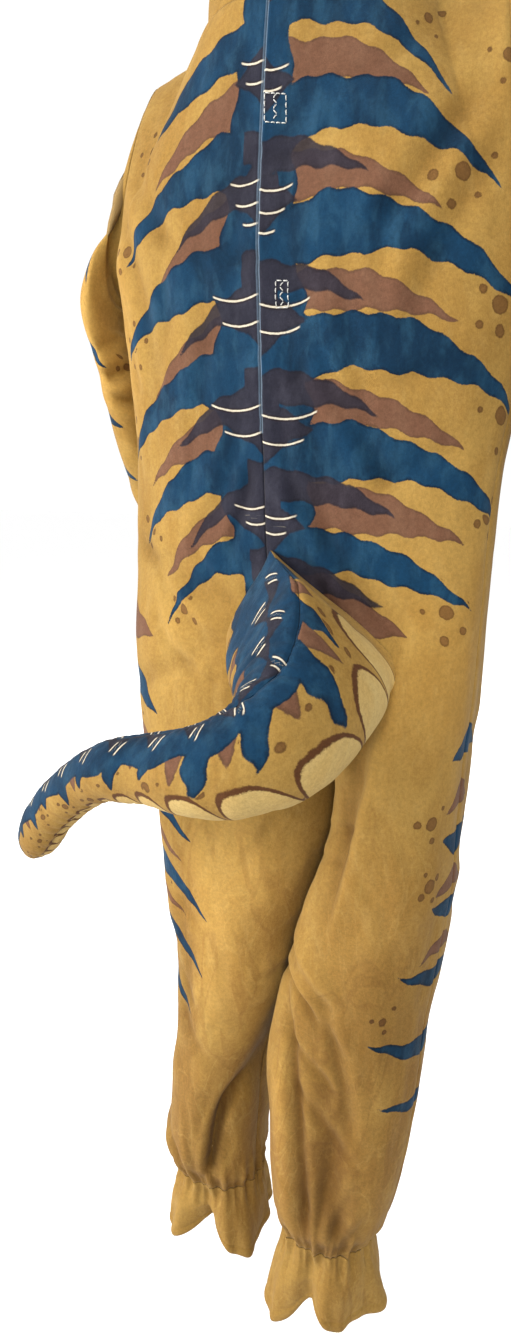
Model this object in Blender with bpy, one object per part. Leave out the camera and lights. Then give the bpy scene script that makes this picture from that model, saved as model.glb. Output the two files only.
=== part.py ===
"""A child's dinosaur onesie as it hangs on a wearer: cloth walls, with a stuffed tail.

The front faces -Y, the back +Y, up is +Z, and the wearer's left is +X. Heights
in the tables are above the floor. The origin is the middle of the neck opening
at shoulder level, ORIGIN_HEIGHT above the floor. Lengths are in metres.
"""

import math

import bpy
import numpy as np

WALL = 0.002  # cloth wall
SEAM = 0.0004  # clear gap at a seam
HALF_SEAM = 0.00022
ORIGIN_HEIGHT = 0.985
SQUARENESS = 0.87  # exponent of the sections: 1 is an ellipse, less is squarer

UNDERARM_HEIGHT = 0.835
# Half width and height. The right shoulder is held a little higher.
SHOULDER_CORNER = {"left": (0.128, 0.973), "right": (0.134, 0.994)}
NECK_POINT = {"left": (0.074, 0.985), "right": (0.084, 1.000)}
NECK_SHARE = 0.3  # share of a panel's top that is shoulder seam
NECK_DEPTH = {"back": 0.062, "front": 0.060}
NECK_CENTRE_HEIGHT = {"back": 0.980, "front": 0.955}
ARMHOLE_DEPTH = {"back": 0.034, "front": 0.032}
ARMHOLE_HOLLOW = {"left": 0.014, "right": 0.002}
NECK_BAND_TOP = 1.042

COLUMNS = 10
UPPER_ROWS = (0.0, 0.14, 0.28, 0.42, 0.56, 0.70, 0.82, 0.92, 1.0)
LOWER_HEIGHTS = (
    0.835, 0.800, 0.765, 0.730, 0.695, 0.660, 0.630, 0.600, 0.575, 0.550, 0.528, 0.508, 0.493, 0.482,
    0.468, 0.445, 0.415, 0.380, 0.345, 0.310, 0.275, 0.245, 0.215, 0.185, 0.158, 0.138, 0.124, 0.114,
)  # fmt: skip

# One row for each section. left and right are the outer edges, mid is where the
# halves meet, gap is the clear space between the legs, split runs from 0 for
# one joined section to 1 for two whole legs, and the rest are depths from the
# middle of the side seams.
BODY_COLUMNS = ("z", "left", "right", "mid", "gap", "split", "left_y", "right_y", "back", "front")
BODY = (
    (0.835, 0.1500, -0.1610, 0.0000, 0.0004, 0.00, 0.000, 0.000, 0.070, 0.088),
    (0.800, 0.1455, -0.1575, 0.0000, 0.0004, 0.00, 0.000, 0.000, 0.067, 0.092),
    (0.750, 0.1405, -0.1505, 0.0000, 0.0004, 0.00, 0.000, 0.000, 0.062, 0.095),
    (0.700, 0.1390, -0.1435, -0.0010, 0.0004, 0.00, 0.000, 0.000, 0.058, 0.098),
    (0.660, 0.1385, -0.1405, -0.0030, 0.0004, 0.00, 0.000, 0.000, 0.057, 0.099),
    (0.620, 0.1380, -0.1395, -0.0070, 0.0004, 0.06, 0.000, 0.000, 0.058, 0.098),
    (0.580, 0.1370, -0.1385, -0.0170, 0.0004, 0.26, 0.000, 0.000, 0.061, 0.095),
    (0.540, 0.1320, -0.1370, -0.0310, 0.0004, 0.54, 0.000, 0.000, 0.062, 0.090),
    (0.508, 0.1265, -0.1340, -0.0420, 0.0004, 0.80, 0.000, 0.001, 0.061, 0.084),
    (0.482, 0.1210, -0.1335, -0.0470, 0.0005, 1.00, 0.000, 0.002, 0.060, 0.080),
    (0.460, 0.1155, -0.1330, -0.0465, 0.0010, 1.00, 0.000, 0.003, 0.059, 0.077),
    (0.420, 0.1065, -0.1330, -0.0370, 0.0014, 1.00, 0.000, 0.004, 0.058, 0.071),
    (0.380, 0.1005, -0.1290, -0.0235, 0.0020, 1.00, 0.000, 0.005, 0.056, 0.066),
    (0.340, 0.0950, -0.1245, -0.0130, 0.0030, 1.00, 0.000, 0.006, 0.054, 0.062),
    (0.300, 0.0920, -0.1195, -0.0040, 0.0045, 1.00, 0.000, 0.008, 0.052, 0.058),
    (0.260, 0.0915, -0.1180, 0.0040, 0.0070, 1.00, -0.001, 0.010, 0.051, 0.055),
    (0.220, 0.0965, -0.1150, 0.0085, 0.0210, 1.00, -0.002, 0.012, 0.050, 0.053),
    (0.180, 0.1000, -0.1100, 0.0080, 0.0280, 1.00, -0.002, 0.014, 0.049, 0.051),
    (0.145, 0.1030, -0.1030, 0.0070, 0.0320, 1.00, -0.001, 0.015, 0.047, 0.048),
    (0.125, 0.0990, -0.0960, 0.0040, 0.0340, 1.00, 0.000, 0.016, 0.042, 0.043),
    (0.114, 0.0940, -0.0890, 0.0015, 0.0360, 1.00, 0.000, 0.016, 0.036, 0.038),
)

# The largest folds, each along a line across the panel as it is seen from its
# own face. depth is negative for a trough.
FOLD_COLUMNS = ("face", "x1", "z1", "x2", "z2", "depth", "width")
FOLDS = (
    ("back", 0.010, 0.258, 0.043, 0.120, -0.0090, 0.0070),
    ("back", 0.046, 0.232, 0.064, 0.128, 0.0030, 0.0110),
    ("back", -0.028, 0.310, -0.050, 0.120, -0.0085, 0.0070),
    ("back", -0.070, 0.220, -0.078, 0.124, -0.0050, 0.0080),
    ("back", -0.088, 0.545, -0.068, 0.400, -0.0060, 0.0110),
    ("back", -0.060, 0.480, -0.048, 0.330, 0.0040, 0.0140),
    ("back", 0.035, 0.610, 0.120, 0.645, -0.0035, 0.0090),
    ("back", 0.040, 0.570, 0.115, 0.540, -0.0040, 0.0100),
    ("back", 0.060, 0.400, 0.070, 0.250, -0.0030, 0.0130),
    ("front", -0.070, 0.580, -0.030, 0.500, -0.0050, 0.0110),
    ("front", 0.075, 0.570, 0.030, 0.500, -0.0050, 0.0110),
    ("front", 0.055, 0.240, 0.050, 0.122, -0.0080, 0.0080),
    ("front", -0.060, 0.250, -0.052, 0.122, -0.0080, 0.0080),
    ("front", 0.090, 0.800, 0.055, 0.720, -0.0040, 0.0120),
    ("front", -0.088, 0.810, -0.050, 0.715, -0.0040, 0.0120),
)

# Sleeve sections from the armhole to the cuff: inner and outer edges seen from
# the back, then the middle in Y, half the depth, and the lean of the section in
# degrees.
SLEEVE_COLUMNS = ("in_x", "in_z", "out_x", "out_z", "y", "half_depth", "lean")
SLEEVE = (
    (0.1550, 0.8290, 0.1310, 0.9350, -0.002, 0.0335, 0),
    (0.1580, 0.8230, 0.1375, 0.9070, -0.002, 0.0370, 0),
    (0.1600, 0.8150, 0.1570, 0.8770, 0.000, 0.0410, 3),
    (0.1590, 0.8020, 0.1815, 0.8450, -0.006, 0.0415, 10),
    (0.1560, 0.7830, 0.1835, 0.8030, -0.019, 0.0400, 20),
    (0.1510, 0.7600, 0.1885, 0.7660, -0.035, 0.0395, 26),
    (0.1450, 0.7250, 0.1920, 0.7270, -0.056, 0.0380, 29),
    (0.1400, 0.6900, 0.1950, 0.6910, -0.076, 0.0360, 31),
    (0.1370, 0.6600, 0.1930, 0.6600, -0.096, 0.0340, 32),
    (0.1360, 0.6380, 0.1910, 0.6380, -0.108, 0.0325, 32),
)
SLEEVE_OUT = {"left": 0.0, "right": 0.011}
SLEEVE_TOP_IN = {"left": 0.012, "right": 0.0}  # how far in the outer edge of the first section sits

# Foot covers from the gathered ankle to the hem.
COVER_COLUMNS = ("drop", "spread", "back_shift", "wave")
COVER = (
    (0.010, 0.0005, 0.000, 0.0000),
    (0.024, 0.0045, -0.001, 0.0012),
    (0.040, 0.0070, -0.003, 0.0030),
    (0.055, 0.0085, -0.005, 0.0050),
)
COVER_LOBES = {"left": (5, 0.95), "right": (5, 0.0)}
COVER_SHIFT = {"left": 0.0, "right": 0.03}  # how far a cover leans across for each metre down
COVER_STRETCH = {"left": 1.0, "right": 1.12}  # of the drop
COVER_NOTCH_TURN = {"left": 0.27, "right": 0.245}
COVER_LONGER = {"left": (0.45, 0.07, 0.12), "right": (0.37, 0.10, 0.34)}  # turn, width in turns, share of the drop
COVER_DRAWN = {"left": (0.57, 0.06, 0.013), "right": (0.55, 0.07, 0.003)}  # turn, width in turns, how far in
COVER_VALLEY = 0.010  # how far in the hem is drawn at its notch

# Tail sections from its root on the back to its tip. egg makes the top of a
# section narrower than its bottom.
TAIL_COLUMNS = ("x", "y", "z", "half_wide", "half_high", "egg")
TAIL = (
    (-0.0340, 0.060, 0.5970, 0.0500, 0.0520, 0.85),
    (-0.0480, 0.084, 0.5840, 0.0480, 0.0480, 0.62),
    (-0.0600, 0.106, 0.5690, 0.0450, 0.0430, 0.38),
    (-0.0650, 0.128, 0.5520, 0.0400, 0.0390, 0.18),
    (-0.0570, 0.147, 0.5350, 0.0350, 0.0350, 0.06),
    (-0.0350, 0.157, 0.5240, 0.0300, 0.0300, 0.00),
    (-0.0110, 0.161, 0.5190, 0.0255, 0.0260, 0.00),
    (0.0150, 0.160, 0.5160, 0.0215, 0.0225, 0.00),
    (0.0410, 0.157, 0.5100, 0.0195, 0.0205, 0.00),
    (0.0660, 0.152, 0.4990, 0.0185, 0.0190, 0.00),
    (0.0900, 0.146, 0.4830, 0.0178, 0.0180, 0.00),
    (0.1140, 0.138, 0.4620, 0.0170, 0.0170, 0.00),
    (0.1350, 0.129, 0.4390, 0.0150, 0.0150, 0.00),
    (0.1440, 0.124, 0.4260, 0.0090, 0.0090, 0.00),
)
TAIL_TURN_SHARES = (0.0, 0.15, 0.4, 0.7, 0.95)  # how far the first sections turn with the path
TAIL_SIDES = 8
TAIL_ROOT_LEAN = 0.024
TAIL_CLEAR = 0.0016
TAIL_HALF_GAP = 0.00025


def column(table, names, name):
    at = names.index(name)
    return np.array([row[at] for row in table], float)


def smooth(at, xs, ys):
    """Cubic interpolation through the rows of a table, with no overshoot."""
    if xs[0] > xs[-1]:
        xs, ys = xs[::-1], ys[::-1]
    step = np.diff(xs)
    slope = np.diff(ys) / step
    tangent = np.zeros(len(xs))
    for i in range(1, len(xs) - 1):
        if slope[i - 1] * slope[i] > 0:
            tangent[i] = 2 * slope[i - 1] * slope[i] / (slope[i - 1] + slope[i])
    tangent[0], tangent[-1] = slope[0], slope[-1]
    at = np.clip(at, xs[0], xs[-1])
    i = np.clip(np.searchsorted(xs, at) - 1, 0, len(step) - 1)
    t = (at - xs[i]) / step[i]
    return (
        (2 * t**3 - 3 * t**2 + 1) * ys[i]
        + (t**3 - 2 * t**2 + t) * step[i] * tangent[i]
        + (3 * t**2 - 2 * t**3) * ys[i + 1]
        + (t**3 - t**2) * step[i] * tangent[i + 1]
    )


BODY_HEIGHTS = column(BODY, BODY_COLUMNS, "z")
BODY_VALUES = {name: column(BODY, BODY_COLUMNS, name) for name in BODY_COLUMNS}


def body(name, z):
    return smooth(z, BODY_HEIGHTS, BODY_VALUES[name])


def half_section(side, z):
    """The middle and the radius in X of one side's section, and its split."""
    s = 1 if side == "left" else -1
    split = np.clip(body("split", z), 0, 1)
    inner = body("mid", z) + s * body("gap", z) / 2
    span = (body(side, z) - inner) * s
    radius = span / (1 + split)
    return inner + s * (span - radius), radius, split


def lower_point(side, face, w, z):
    """A point of a panel below the underarm: w runs from side seam to centre."""
    s = 1 if side == "left" else -1
    t = 1 if face == "back" else -1
    middle, radius, split = half_section(side, z)
    last = np.arccos(-np.clip(split, 0, 1) ** (1 / SQUARENESS))
    angle = last * w
    c, q = np.cos(angle), np.sin(angle)
    x = middle + s * radius * np.sign(c) * np.abs(c) ** SQUARENESS
    y = body(side + "_y", z) + t * body(face, z) * np.abs(q) ** SQUARENESS
    return np.stack([x, y, np.broadcast_to(z, x.shape)], -1)


def top_point(side, face, w):
    """A point along a panel's shoulder seam and neckline."""
    s = 1 if side == "left" else -1
    t = 1 if face == "back" else -1
    share = np.clip(w / NECK_SHARE, 0, 1)
    turn = np.clip((w - NECK_SHARE) / (1 - NECK_SHARE), 0, 1) * math.pi / 2
    corner, neck = SHOULDER_CORNER[side], NECK_POINT[side]
    x = np.where(w < NECK_SHARE, corner[0] + (neck[0] - corner[0]) * share, neck[0] * np.cos(turn))
    drop = NECK_CENTRE_HEIGHT[face] - neck[1]
    z = np.where(w < NECK_SHARE, corner[1] + (neck[1] - corner[1]) * share, neck[1] + drop * np.sin(turn) ** 1.5)
    y = t * NECK_DEPTH[face] * np.sin(turn)
    return np.stack([s * x, y, z], -1)


def upper_point(side, face, w, v):
    """A point of a panel above the underarm: v runs from underarm to shoulder."""
    s = 1 if side == "left" else -1
    t = 1 if face == "back" else -1
    base = lower_point(side, face, w, np.full(w.shape, UNDERARM_HEIGHT))
    top = top_point(side, face, w)
    rise = 0.75 * v**1.7 + 0.25 * (1 - math.sqrt(1 - v * v))
    point = base + (top - base) * v
    point[..., 1] = base[..., 1] + (top[..., 1] - base[..., 1]) * rise
    belly = (4 * v * (1 - v)) ** 0.75
    point[..., 1] += t * ARMHOLE_DEPTH[face] * belly * (1 - w) ** 2.2
    point[..., 0] -= s * ARMHOLE_HOLLOW[side] * (4 * v * (1 - v)) ** 0.6 * v**0.35 * (1 - w) ** 3
    return point


def fold_height(points, face):
    """How far the folds of a face move each point out."""
    total = np.zeros(points.shape[:-1])
    for row in FOLDS:
        f, x1, z1, x2, z2, depth, width = row
        if f != face:
            continue
        along = np.array([x2 - x1, z2 - z1])
        length = math.hypot(*along)
        rel = points[..., [0, 2]] - np.array([x1, z1])
        t = rel @ along / length**2
        off = (rel[..., 0] * along[1] - rel[..., 1] * along[0]) / length
        ends = np.clip(t / 0.3 + 0.4, 0, 1) * np.clip((1 - t) / 0.3 + 0.6, 0, 1)
        total += depth * np.exp(-((off / width) ** 2)) * ends
    return total


def grid_normals(grid, sign):
    """Unit normals of a grid of points, averaged over its cells."""
    across = np.gradient(grid, axis=1)
    down = np.gradient(grid, axis=0)
    normal = np.cross(across, down) * sign
    return normal / np.maximum(np.linalg.norm(normal, axis=-1, keepdims=True), 1e-12)


def unit(v):
    return v / np.maximum(np.linalg.norm(v, axis=-1, keepdims=True), 1e-12)


def panel_grids(side, face):
    """The outer and inner surfaces of a body panel, rows from neck to ankle."""
    s = 1 if side == "left" else -1
    t = 1 if face == "back" else -1
    w = np.linspace(0, 1, COLUMNS + 1)
    rows = [upper_point(side, face, w, v) for v in reversed(UPPER_ROWS[1:])]
    rows += [lower_point(side, face, w, np.full(w.shape, z)) for z in LOWER_HEIGHTS]
    grid = np.array(rows)
    upper = len(UPPER_ROWS) - 1
    normal = grid_normals(grid, -s * t)
    edge = np.sin(np.pi * np.clip(w, 0.0, 1.0)) ** 0.35
    legs = np.clip(body("split", grid[:, :1, 2]) * 1.6 - 0.6, 0, 1)
    keep = edge * legs + np.minimum(1, w / 0.12) * (1 - legs)
    grid = grid + normal * (fold_height(grid, face) * keep)[..., None]
    centre = body("mid", np.minimum(grid[:, -1, 2], UNDERARM_HEIGHT))
    open_rows = np.arange(len(grid)) < upper + sum(z > 0.482 for z in LOWER_HEIGHTS)
    grid[open_rows, -1, 0] = centre[open_rows] + s * HALF_SEAM
    middle_y = body(side + "_y", np.minimum(grid[:, 0, 2], UNDERARM_HEIGHT))
    seam_y = middle_y + t * HALF_SEAM
    grid[upper:, 0, 1] = seam_y[upper:]
    grid[~open_rows, -1, 1] = seam_y[~open_rows]
    top = w <= NECK_SHARE + 1e-9
    grid[0, top, 1] = t * HALF_SEAM
    normal = grid_normals(grid, -s * t)
    normal[upper:, 0, 1] = 0
    normal[~open_rows, -1, 1] = 0
    normal[0, top, 1] = 0
    normal[open_rows, -1, 0] = np.minimum(normal[open_rows, -1, 0] * s, 0) * s
    normal[:upper, -1, 0] = 0
    normal = unit(normal)
    return grid, grid - normal * WALL


def mesh_object(name, points, faces):
    """A closed solid from points above the floor and triangles, facing out."""
    points = np.asarray(points, float) - np.array([0, 0, ORIGIN_HEIGHT])
    faces = np.asarray(faces)
    a, b, c = points[faces[:, 0]], points[faces[:, 1]], points[faces[:, 2]]
    if np.einsum("ij,ij->i", a, np.cross(b, c)).sum() < 0:
        faces = faces[:, ::-1]
    mesh = bpy.data.meshes.new(name)
    mesh.from_pydata(points.tolist(), [], faces.tolist())
    mesh.update()
    obj = bpy.data.objects.new(name, mesh)
    bpy.context.scene.collection.objects.link(obj)
    return obj


def quad(a, b, c, d):
    return [(a, b, c), (a, c, d)]


def wall_faces(rows, cols, ring):
    """Triangles of a wall: outer points first, then inner ones, row by row."""
    count = rows * cols
    at = lambda layer, i, j: layer * count + i * cols + j % cols
    faces = []
    last = cols if ring else cols - 1
    for i in range(rows - 1):
        for j in range(last):
            corners = (i, j), (i + 1, j), (i + 1, j + 1), (i, j + 1)
            outer = [at(0, *p) for p in corners]
            inner = [at(1, *p) for p in corners]
            faces += quad(*outer)
            faces += [f[::-1] for f in quad(*inner)]
    for j in range(last):
        faces += quad(at(0, 0, j), at(0, 0, j + 1), at(1, 0, j + 1), at(1, 0, j))
        faces += quad(at(0, rows - 1, j + 1), at(0, rows - 1, j), at(1, rows - 1, j), at(1, rows - 1, j + 1))
    if not ring:
        for i in range(rows - 1):
            faces += quad(at(0, i + 1, 0), at(0, i, 0), at(1, i, 0), at(1, i + 1, 0))
            k = cols - 1
            faces += quad(at(0, i, k), at(0, i + 1, k), at(1, i + 1, k), at(1, i, k))
    return faces


def wall(name, outer, inner, ring=False):
    rows, cols = outer.shape[:2]
    points = np.concatenate([outer.reshape(-1, 3), inner.reshape(-1, 3)])
    return mesh_object(name, points, wall_faces(rows, cols, ring))


def joined(back, front):
    """One ring from matching edges of a back and a front, whose ends nearly meet."""
    first = (back[0] + front[0]) / 2
    last = (back[-1] + front[-1]) / 2
    return np.concatenate([[first], back[1:-1], [last], front[-2:0:-1]])


def ring_normals(rings, sign):
    around = (np.roll(rings, -1, axis=1) - np.roll(rings, 1, axis=1)) / 2
    along = np.gradient(rings, axis=0)
    return unit(np.cross(around, along) * sign)


def armhole(panels, side):
    """Outer and inner armhole rings, moved just clear of the body panels."""
    upper = len(UPPER_ROWS) - 1
    edges = []
    for face in ("back", "front"):
        outer, inner = panels[side, face]
        away = unit(outer[upper::-1, 0] - outer[upper::-1, 1])
        away = unit(away + np.array([0.9 if side == "left" else -0.9, 0, 0]))
        edges.append((outer[upper::-1, 0] + away * SEAM * 1.6, inner[upper::-1, 0] + away * SEAM * 1.6))
    return joined(edges[0][0], edges[1][0]), joined(edges[0][1], edges[1][1])


def sleeve(panels, side):
    s = 1 if side == "left" else -1
    outer0, inner0 = armhole(panels, side)
    count = len(outer0)
    turn = np.arange(count) * 2 * math.pi / count
    rings = [outer0]
    for k, row in enumerate(SLEEVE):
        in_x, in_z, out_x, out_z, y, half_depth, lean = row
        in_x, out_x = in_x + SLEEVE_OUT[side], out_x + SLEEVE_OUT[side] - SLEEVE_TOP_IN[side] * max(0, 1 - k / 3)
        inner = np.array([s * in_x, y, in_z])
        outer = np.array([s * out_x, y, out_z])
        lean = math.radians(lean)
        back = np.array([0, math.cos(lean), -math.sin(lean)])
        middle, arm = (inner + outer) / 2, (inner - outer) / 2
        c, q = np.cos(turn), np.sin(turn)
        c, q = np.sign(c) * np.abs(c) ** 0.9, np.sign(q) * np.abs(q) ** 0.9
        ring = middle + np.outer(c, arm) + np.outer(q, back) * half_depth
        if k == 0:
            ring = 0.6 * ring + 0.4 * (outer0 + np.array([s * 0.012, 0, 0]))
        rings.append(ring)
    rings = np.array(rings)
    normal = ring_normals(rings, s)
    if np.einsum("ijk,ijk->ij", normal, rings - rings.mean(axis=1, keepdims=True))[3:].mean() < 0:
        normal = -normal
    inner = rings - normal * WALL
    inner[0] = inner0
    return rings, inner


def neck_band(panels):
    """Outer and inner rows of the band, from one centre back edge to the other."""
    k = int(round(NECK_SHARE * COLUMNS))

    def edge(which):
        bl, br = panels["left", "back"], panels["right", "back"]
        fl, fr = panels["left", "front"], panels["right", "front"]
        lift = 0.0011

        def top(pair, order):
            row, below = pair[which][0], pair[which][1]
            up = unit(row - below)
            up = unit(up + np.array([0, 0, 0.6]))
            return (row + up * lift)[order]

        left_back, left_front = top(bl, slice(None, k - 1, -1)), top(fl, slice(k, None))
        right_front, right_back = top(fr, slice(None, k - 1, -1)), top(br, slice(k, None))
        parts = [left_back[:-1], [(left_back[-1] + left_front[0]) / 2], left_front[1:-1]]
        parts += [[(left_front[-1] + right_front[0]) / 2], right_front[1:-1]]
        parts += [[(right_front[-1] + right_back[0]) / 2], right_back[1:]]
        return np.concatenate(parts)

    base, base_in = edge(0), edge(1)
    middle = np.array([0, 0, 0])
    rows, rows_in = [base], [base_in]
    for share, draw in ((0.3, 0.985), (0.65, 0.93), (1.0, 0.86)):
        row = base.copy()
        row[:, :2] = base[:, :2] * draw
        row[:, 2] = base[:, 2] + (NECK_BAND_TOP - base[:, 2]) * share
        rows.append(row)
        radial = unit(row * np.array([1, 1, 0]) - middle)
        rows_in.append(row - radial * WALL)
    outer, inner = np.array(rows), np.array(rows_in)
    for grid in (outer, inner):
        grid[:, 0, 0] = np.maximum(grid[:, 0, 0], HALF_SEAM)
        grid[:, -1, 0] = np.minimum(grid[:, -1, 0], -HALF_SEAM)
    return outer, inner


def foot_cover(panels, side):
    s = 1 if side == "left" else -1
    rim = joined(panels[side, "back"][0][-1], panels[side, "front"][0][-1])
    rim_in = joined(panels[side, "back"][1][-1], panels[side, "front"][1][-1])
    above = joined(panels[side, "back"][0][-2], panels[side, "front"][0][-2])
    down = unit(unit(rim - above) + np.array([0, 0, -1.5]))
    rings = [rim + down * SEAM * 2]
    inner0 = rim_in + down * SEAM * 2
    middle = rim.mean(axis=0)
    around = np.arange(len(rim)) * 2 * math.pi / len(rim)
    lobes, phase = COVER_LOBES[side]
    turns = around / (2 * math.pi)
    gap = np.abs((turns - COVER_NOTCH_TURN[side] + 0.5) % 1 - 0.5)
    notch = np.exp(-((gap / 0.05) ** 2))
    out = unit((rim - middle) * np.array([1, 1, 0]))
    turn0, wide, share = COVER_LONGER[side]
    longer = share * np.exp(-((((turns - turn0 + 0.5) % 1 - 0.5) / wide) ** 2))
    turn1, wide1, draw = COVER_DRAWN[side]
    drawn = draw * np.exp(-((((turns - turn1 + 0.5) % 1 - 0.5) / wide1) ** 2))
    for drop, spread, shift, wave in COVER:
        valley = COVER_VALLEY * drop / 0.055 * notch
        ring = rim + out * (spread + wave * np.cos(lobes * around + phase) - valley - drawn * drop / 0.055)[:, None]
        ring[:, 0] += COVER_SHIFT[side] * drop
        ring[:, 1] += shift
        ring[:, 2] = rim[:, 2] - drop * COVER_STRETCH[side] * (1 + longer) + (0.35 * drop - 0.003) * notch * (drop > 0.03)
        rings.append(ring)
    rings = np.array(rings)
    normal = ring_normals(rings, s)
    if np.einsum("ijk,ijk->ij", normal, rings - rings.mean(axis=1, keepdims=True)).mean() < 0:
        normal = -normal
    inner = rings - normal * WALL
    inner[0] = inner0
    return rings, inner


def back_y(x, z):
    """The back surface of the body at a place seen from the back."""
    best = np.full(np.shape(x), -1.0)
    for side in ("left", "right"):
        middle, radius, split = half_section(side, z)
        share = np.clip(np.abs((x - middle) / radius), 0, 1)
        y = body(side + "_y", z) + body("back", z) * (1 - share ** (2 / SQUARENESS)) ** (SQUARENESS / 2)
        inside = np.abs(x - middle) <= radius
        best = np.where(inside, np.maximum(best, y), best)
    return best


def tail_frames():
    path = np.array([row[:3] for row in TAIL], float)
    along = unit(np.gradient(path, axis=0))
    start = unit(np.array([-0.12, 1.0, -0.38]))
    for i, share in enumerate(TAIL_TURN_SHARES):
        along[i] = unit(start * (1 - share) + along[i] * share)
    up = unit(np.array([0, 0, 1.0]) - along * along[:, 2:3])
    across = np.cross(along, up)
    return path, along, up, across


def tail_half(side):
    """One stuffed half: its outer skin and the flat face along the seam."""
    s = 1 if side == "left" else -1
    path, _, up, across = tail_frames()
    turn = np.linspace(0, math.pi, TAIL_SIDES + 1)
    rings = []
    for i, row in enumerate(TAIL):
        half_wide, half_high, egg = row[3:]
        high = np.cos(turn) * half_high
        wide = np.sin(turn) * (1 - egg * np.cos(turn)) * half_wide
        seam = path[i] + np.outer(high, up[i])
        skin = seam + s * np.outer(wide, across[i])
        shift = s * across[i] * TAIL_HALF_GAP
        if i == 0:
            dorsal = np.array([TAIL_ROOT_LEAN, 0, 0]) * (np.cos(turn)[:, None] + 0.15)
            seam, skin = seam + dorsal, skin + dorsal
            for part in (seam, skin):
                part[:, 1] = back_y(part[:, 0], part[:, 2]) + TAIL_CLEAR
            fold = fold_height(seam, "back")
            seam[:, 1] += np.maximum(fold, 0)
        rings.append(np.concatenate([skin, seam[-2:0:-1]]) + shift)
    rings = np.array(rings)
    count = rings.shape[1]
    points = list(rings.reshape(-1, 3))
    faces = []
    for i in range(len(rings) - 1):
        for j in range(count):
            k = (j + 1) % count
            a, b, c, d = i * count + j, i * count + k, (i + 1) * count + k, (i + 1) * count + j
            faces += [(a, b, c), (a, c, d)]
    n = TAIL_SIDES

    def seam_at(base, j):
        return base + j if j in (0, n) else base + count - j

    # The root cap follows the body in rows of points from the seam to the skin.
    spans = {}
    for j in range(n + 1):
        start, end = points[seam_at(0, j)], points[j]
        spans[j] = [seam_at(0, j)]
        if 0 < j < n:
            for share in (0.36, 0.7):
                p = start + (end - start) * share
                p[1] = back_y(p[0:1], p[2:3])[0] + TAIL_CLEAR
                spans[j].append(len(points))
                points.append(p)
            spans[j].append(j)
        else:
            spans[j] *= 4
    for j in range(n):
        for k in range(3):
            a, b, c, d = spans[j][k], spans[j + 1][k], spans[j + 1][k + 1], spans[j][k + 1]
            for tri in ((a, b, c), (a, c, d)):
                if len(set(tri)) == 3:
                    faces.append(tri)
    base = (len(rings) - 1) * count
    for j in range(n):
        a, b = seam_at(base, j), seam_at(base, j + 1)
        for tri in ((a, base + j + 1, b), (a, base + j, base + j + 1)):
            if len(set(tri)) == 3:
                faces.append(tri)
    return np.array(points), faces


def main():
    for obj in list(bpy.data.objects):
        bpy.data.objects.remove(obj)
    panels = {(side, face): panel_grids(side, face) for side in ("left", "right") for face in ("back", "front")}
    for (side, face), (outer, inner) in panels.items():
        wall(f"{face}_{side}", outer, inner)
    for side in ("left", "right"):
        wall(f"sleeve_{side}", *sleeve(panels, side), ring=True)
        wall(f"foot_cover_{side}", *foot_cover(panels, side), ring=True)
        mesh_object(f"tail_{side}", *tail_half(side))
    wall("neck_band", *neck_band(panels))


main()
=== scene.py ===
"""Looks for a child's dinosaur onesie: printed velour, folds, gathers, thread and a stuffed tail.

Heights in the tables are above the floor, as in the part. The front faces -Y,
the back +Y, and the wearer's left is +X. Lengths are in metres, and the print's
distances are in millimetres.
"""

import math

import bpy
import numpy as np
from mathutils import Matrix


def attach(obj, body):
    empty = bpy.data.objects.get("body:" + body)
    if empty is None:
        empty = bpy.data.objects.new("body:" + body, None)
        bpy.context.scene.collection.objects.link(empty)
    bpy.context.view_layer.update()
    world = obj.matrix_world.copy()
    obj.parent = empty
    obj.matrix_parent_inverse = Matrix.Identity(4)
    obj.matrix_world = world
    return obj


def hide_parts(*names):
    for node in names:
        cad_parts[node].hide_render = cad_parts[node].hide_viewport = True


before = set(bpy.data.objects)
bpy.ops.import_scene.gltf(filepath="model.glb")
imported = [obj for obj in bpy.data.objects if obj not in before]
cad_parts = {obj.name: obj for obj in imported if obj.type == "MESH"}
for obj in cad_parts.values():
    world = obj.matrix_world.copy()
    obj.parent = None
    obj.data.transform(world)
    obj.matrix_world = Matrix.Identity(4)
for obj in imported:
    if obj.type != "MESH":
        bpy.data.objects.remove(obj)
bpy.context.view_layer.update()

ORIGIN_HEIGHT = 0.985
HALF_SEAM = 0.00012
CLOTH = 0.0016
SQUARENESS = 0.87

UNDERARM_HEIGHT = 0.835
SHOULDER_CORNER = {"left": (0.128, 0.973), "right": (0.134, 0.994)}
NECK_POINT = {"left": (0.074, 0.985), "right": (0.084, 1.000)}
NECK_SHARE = 0.3
NECK_DEPTH = {"back": 0.062, "front": 0.060}
NECK_CENTRE_HEIGHT = {"back": 0.980, "front": 0.955}
ARMHOLE_DEPTH = {"back": 0.034, "front": 0.032}
ARMHOLE_HOLLOW = {"left": 0.014, "right": 0.002}
NECK_BAND_TOP = 1.042
ANKLE_HEIGHT = 0.114
CROTCH_HEIGHT = 0.482
UPPER_ROWS = (0.0, 0.14, 0.28, 0.42, 0.56, 0.70, 0.82, 0.92, 1.0)

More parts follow.
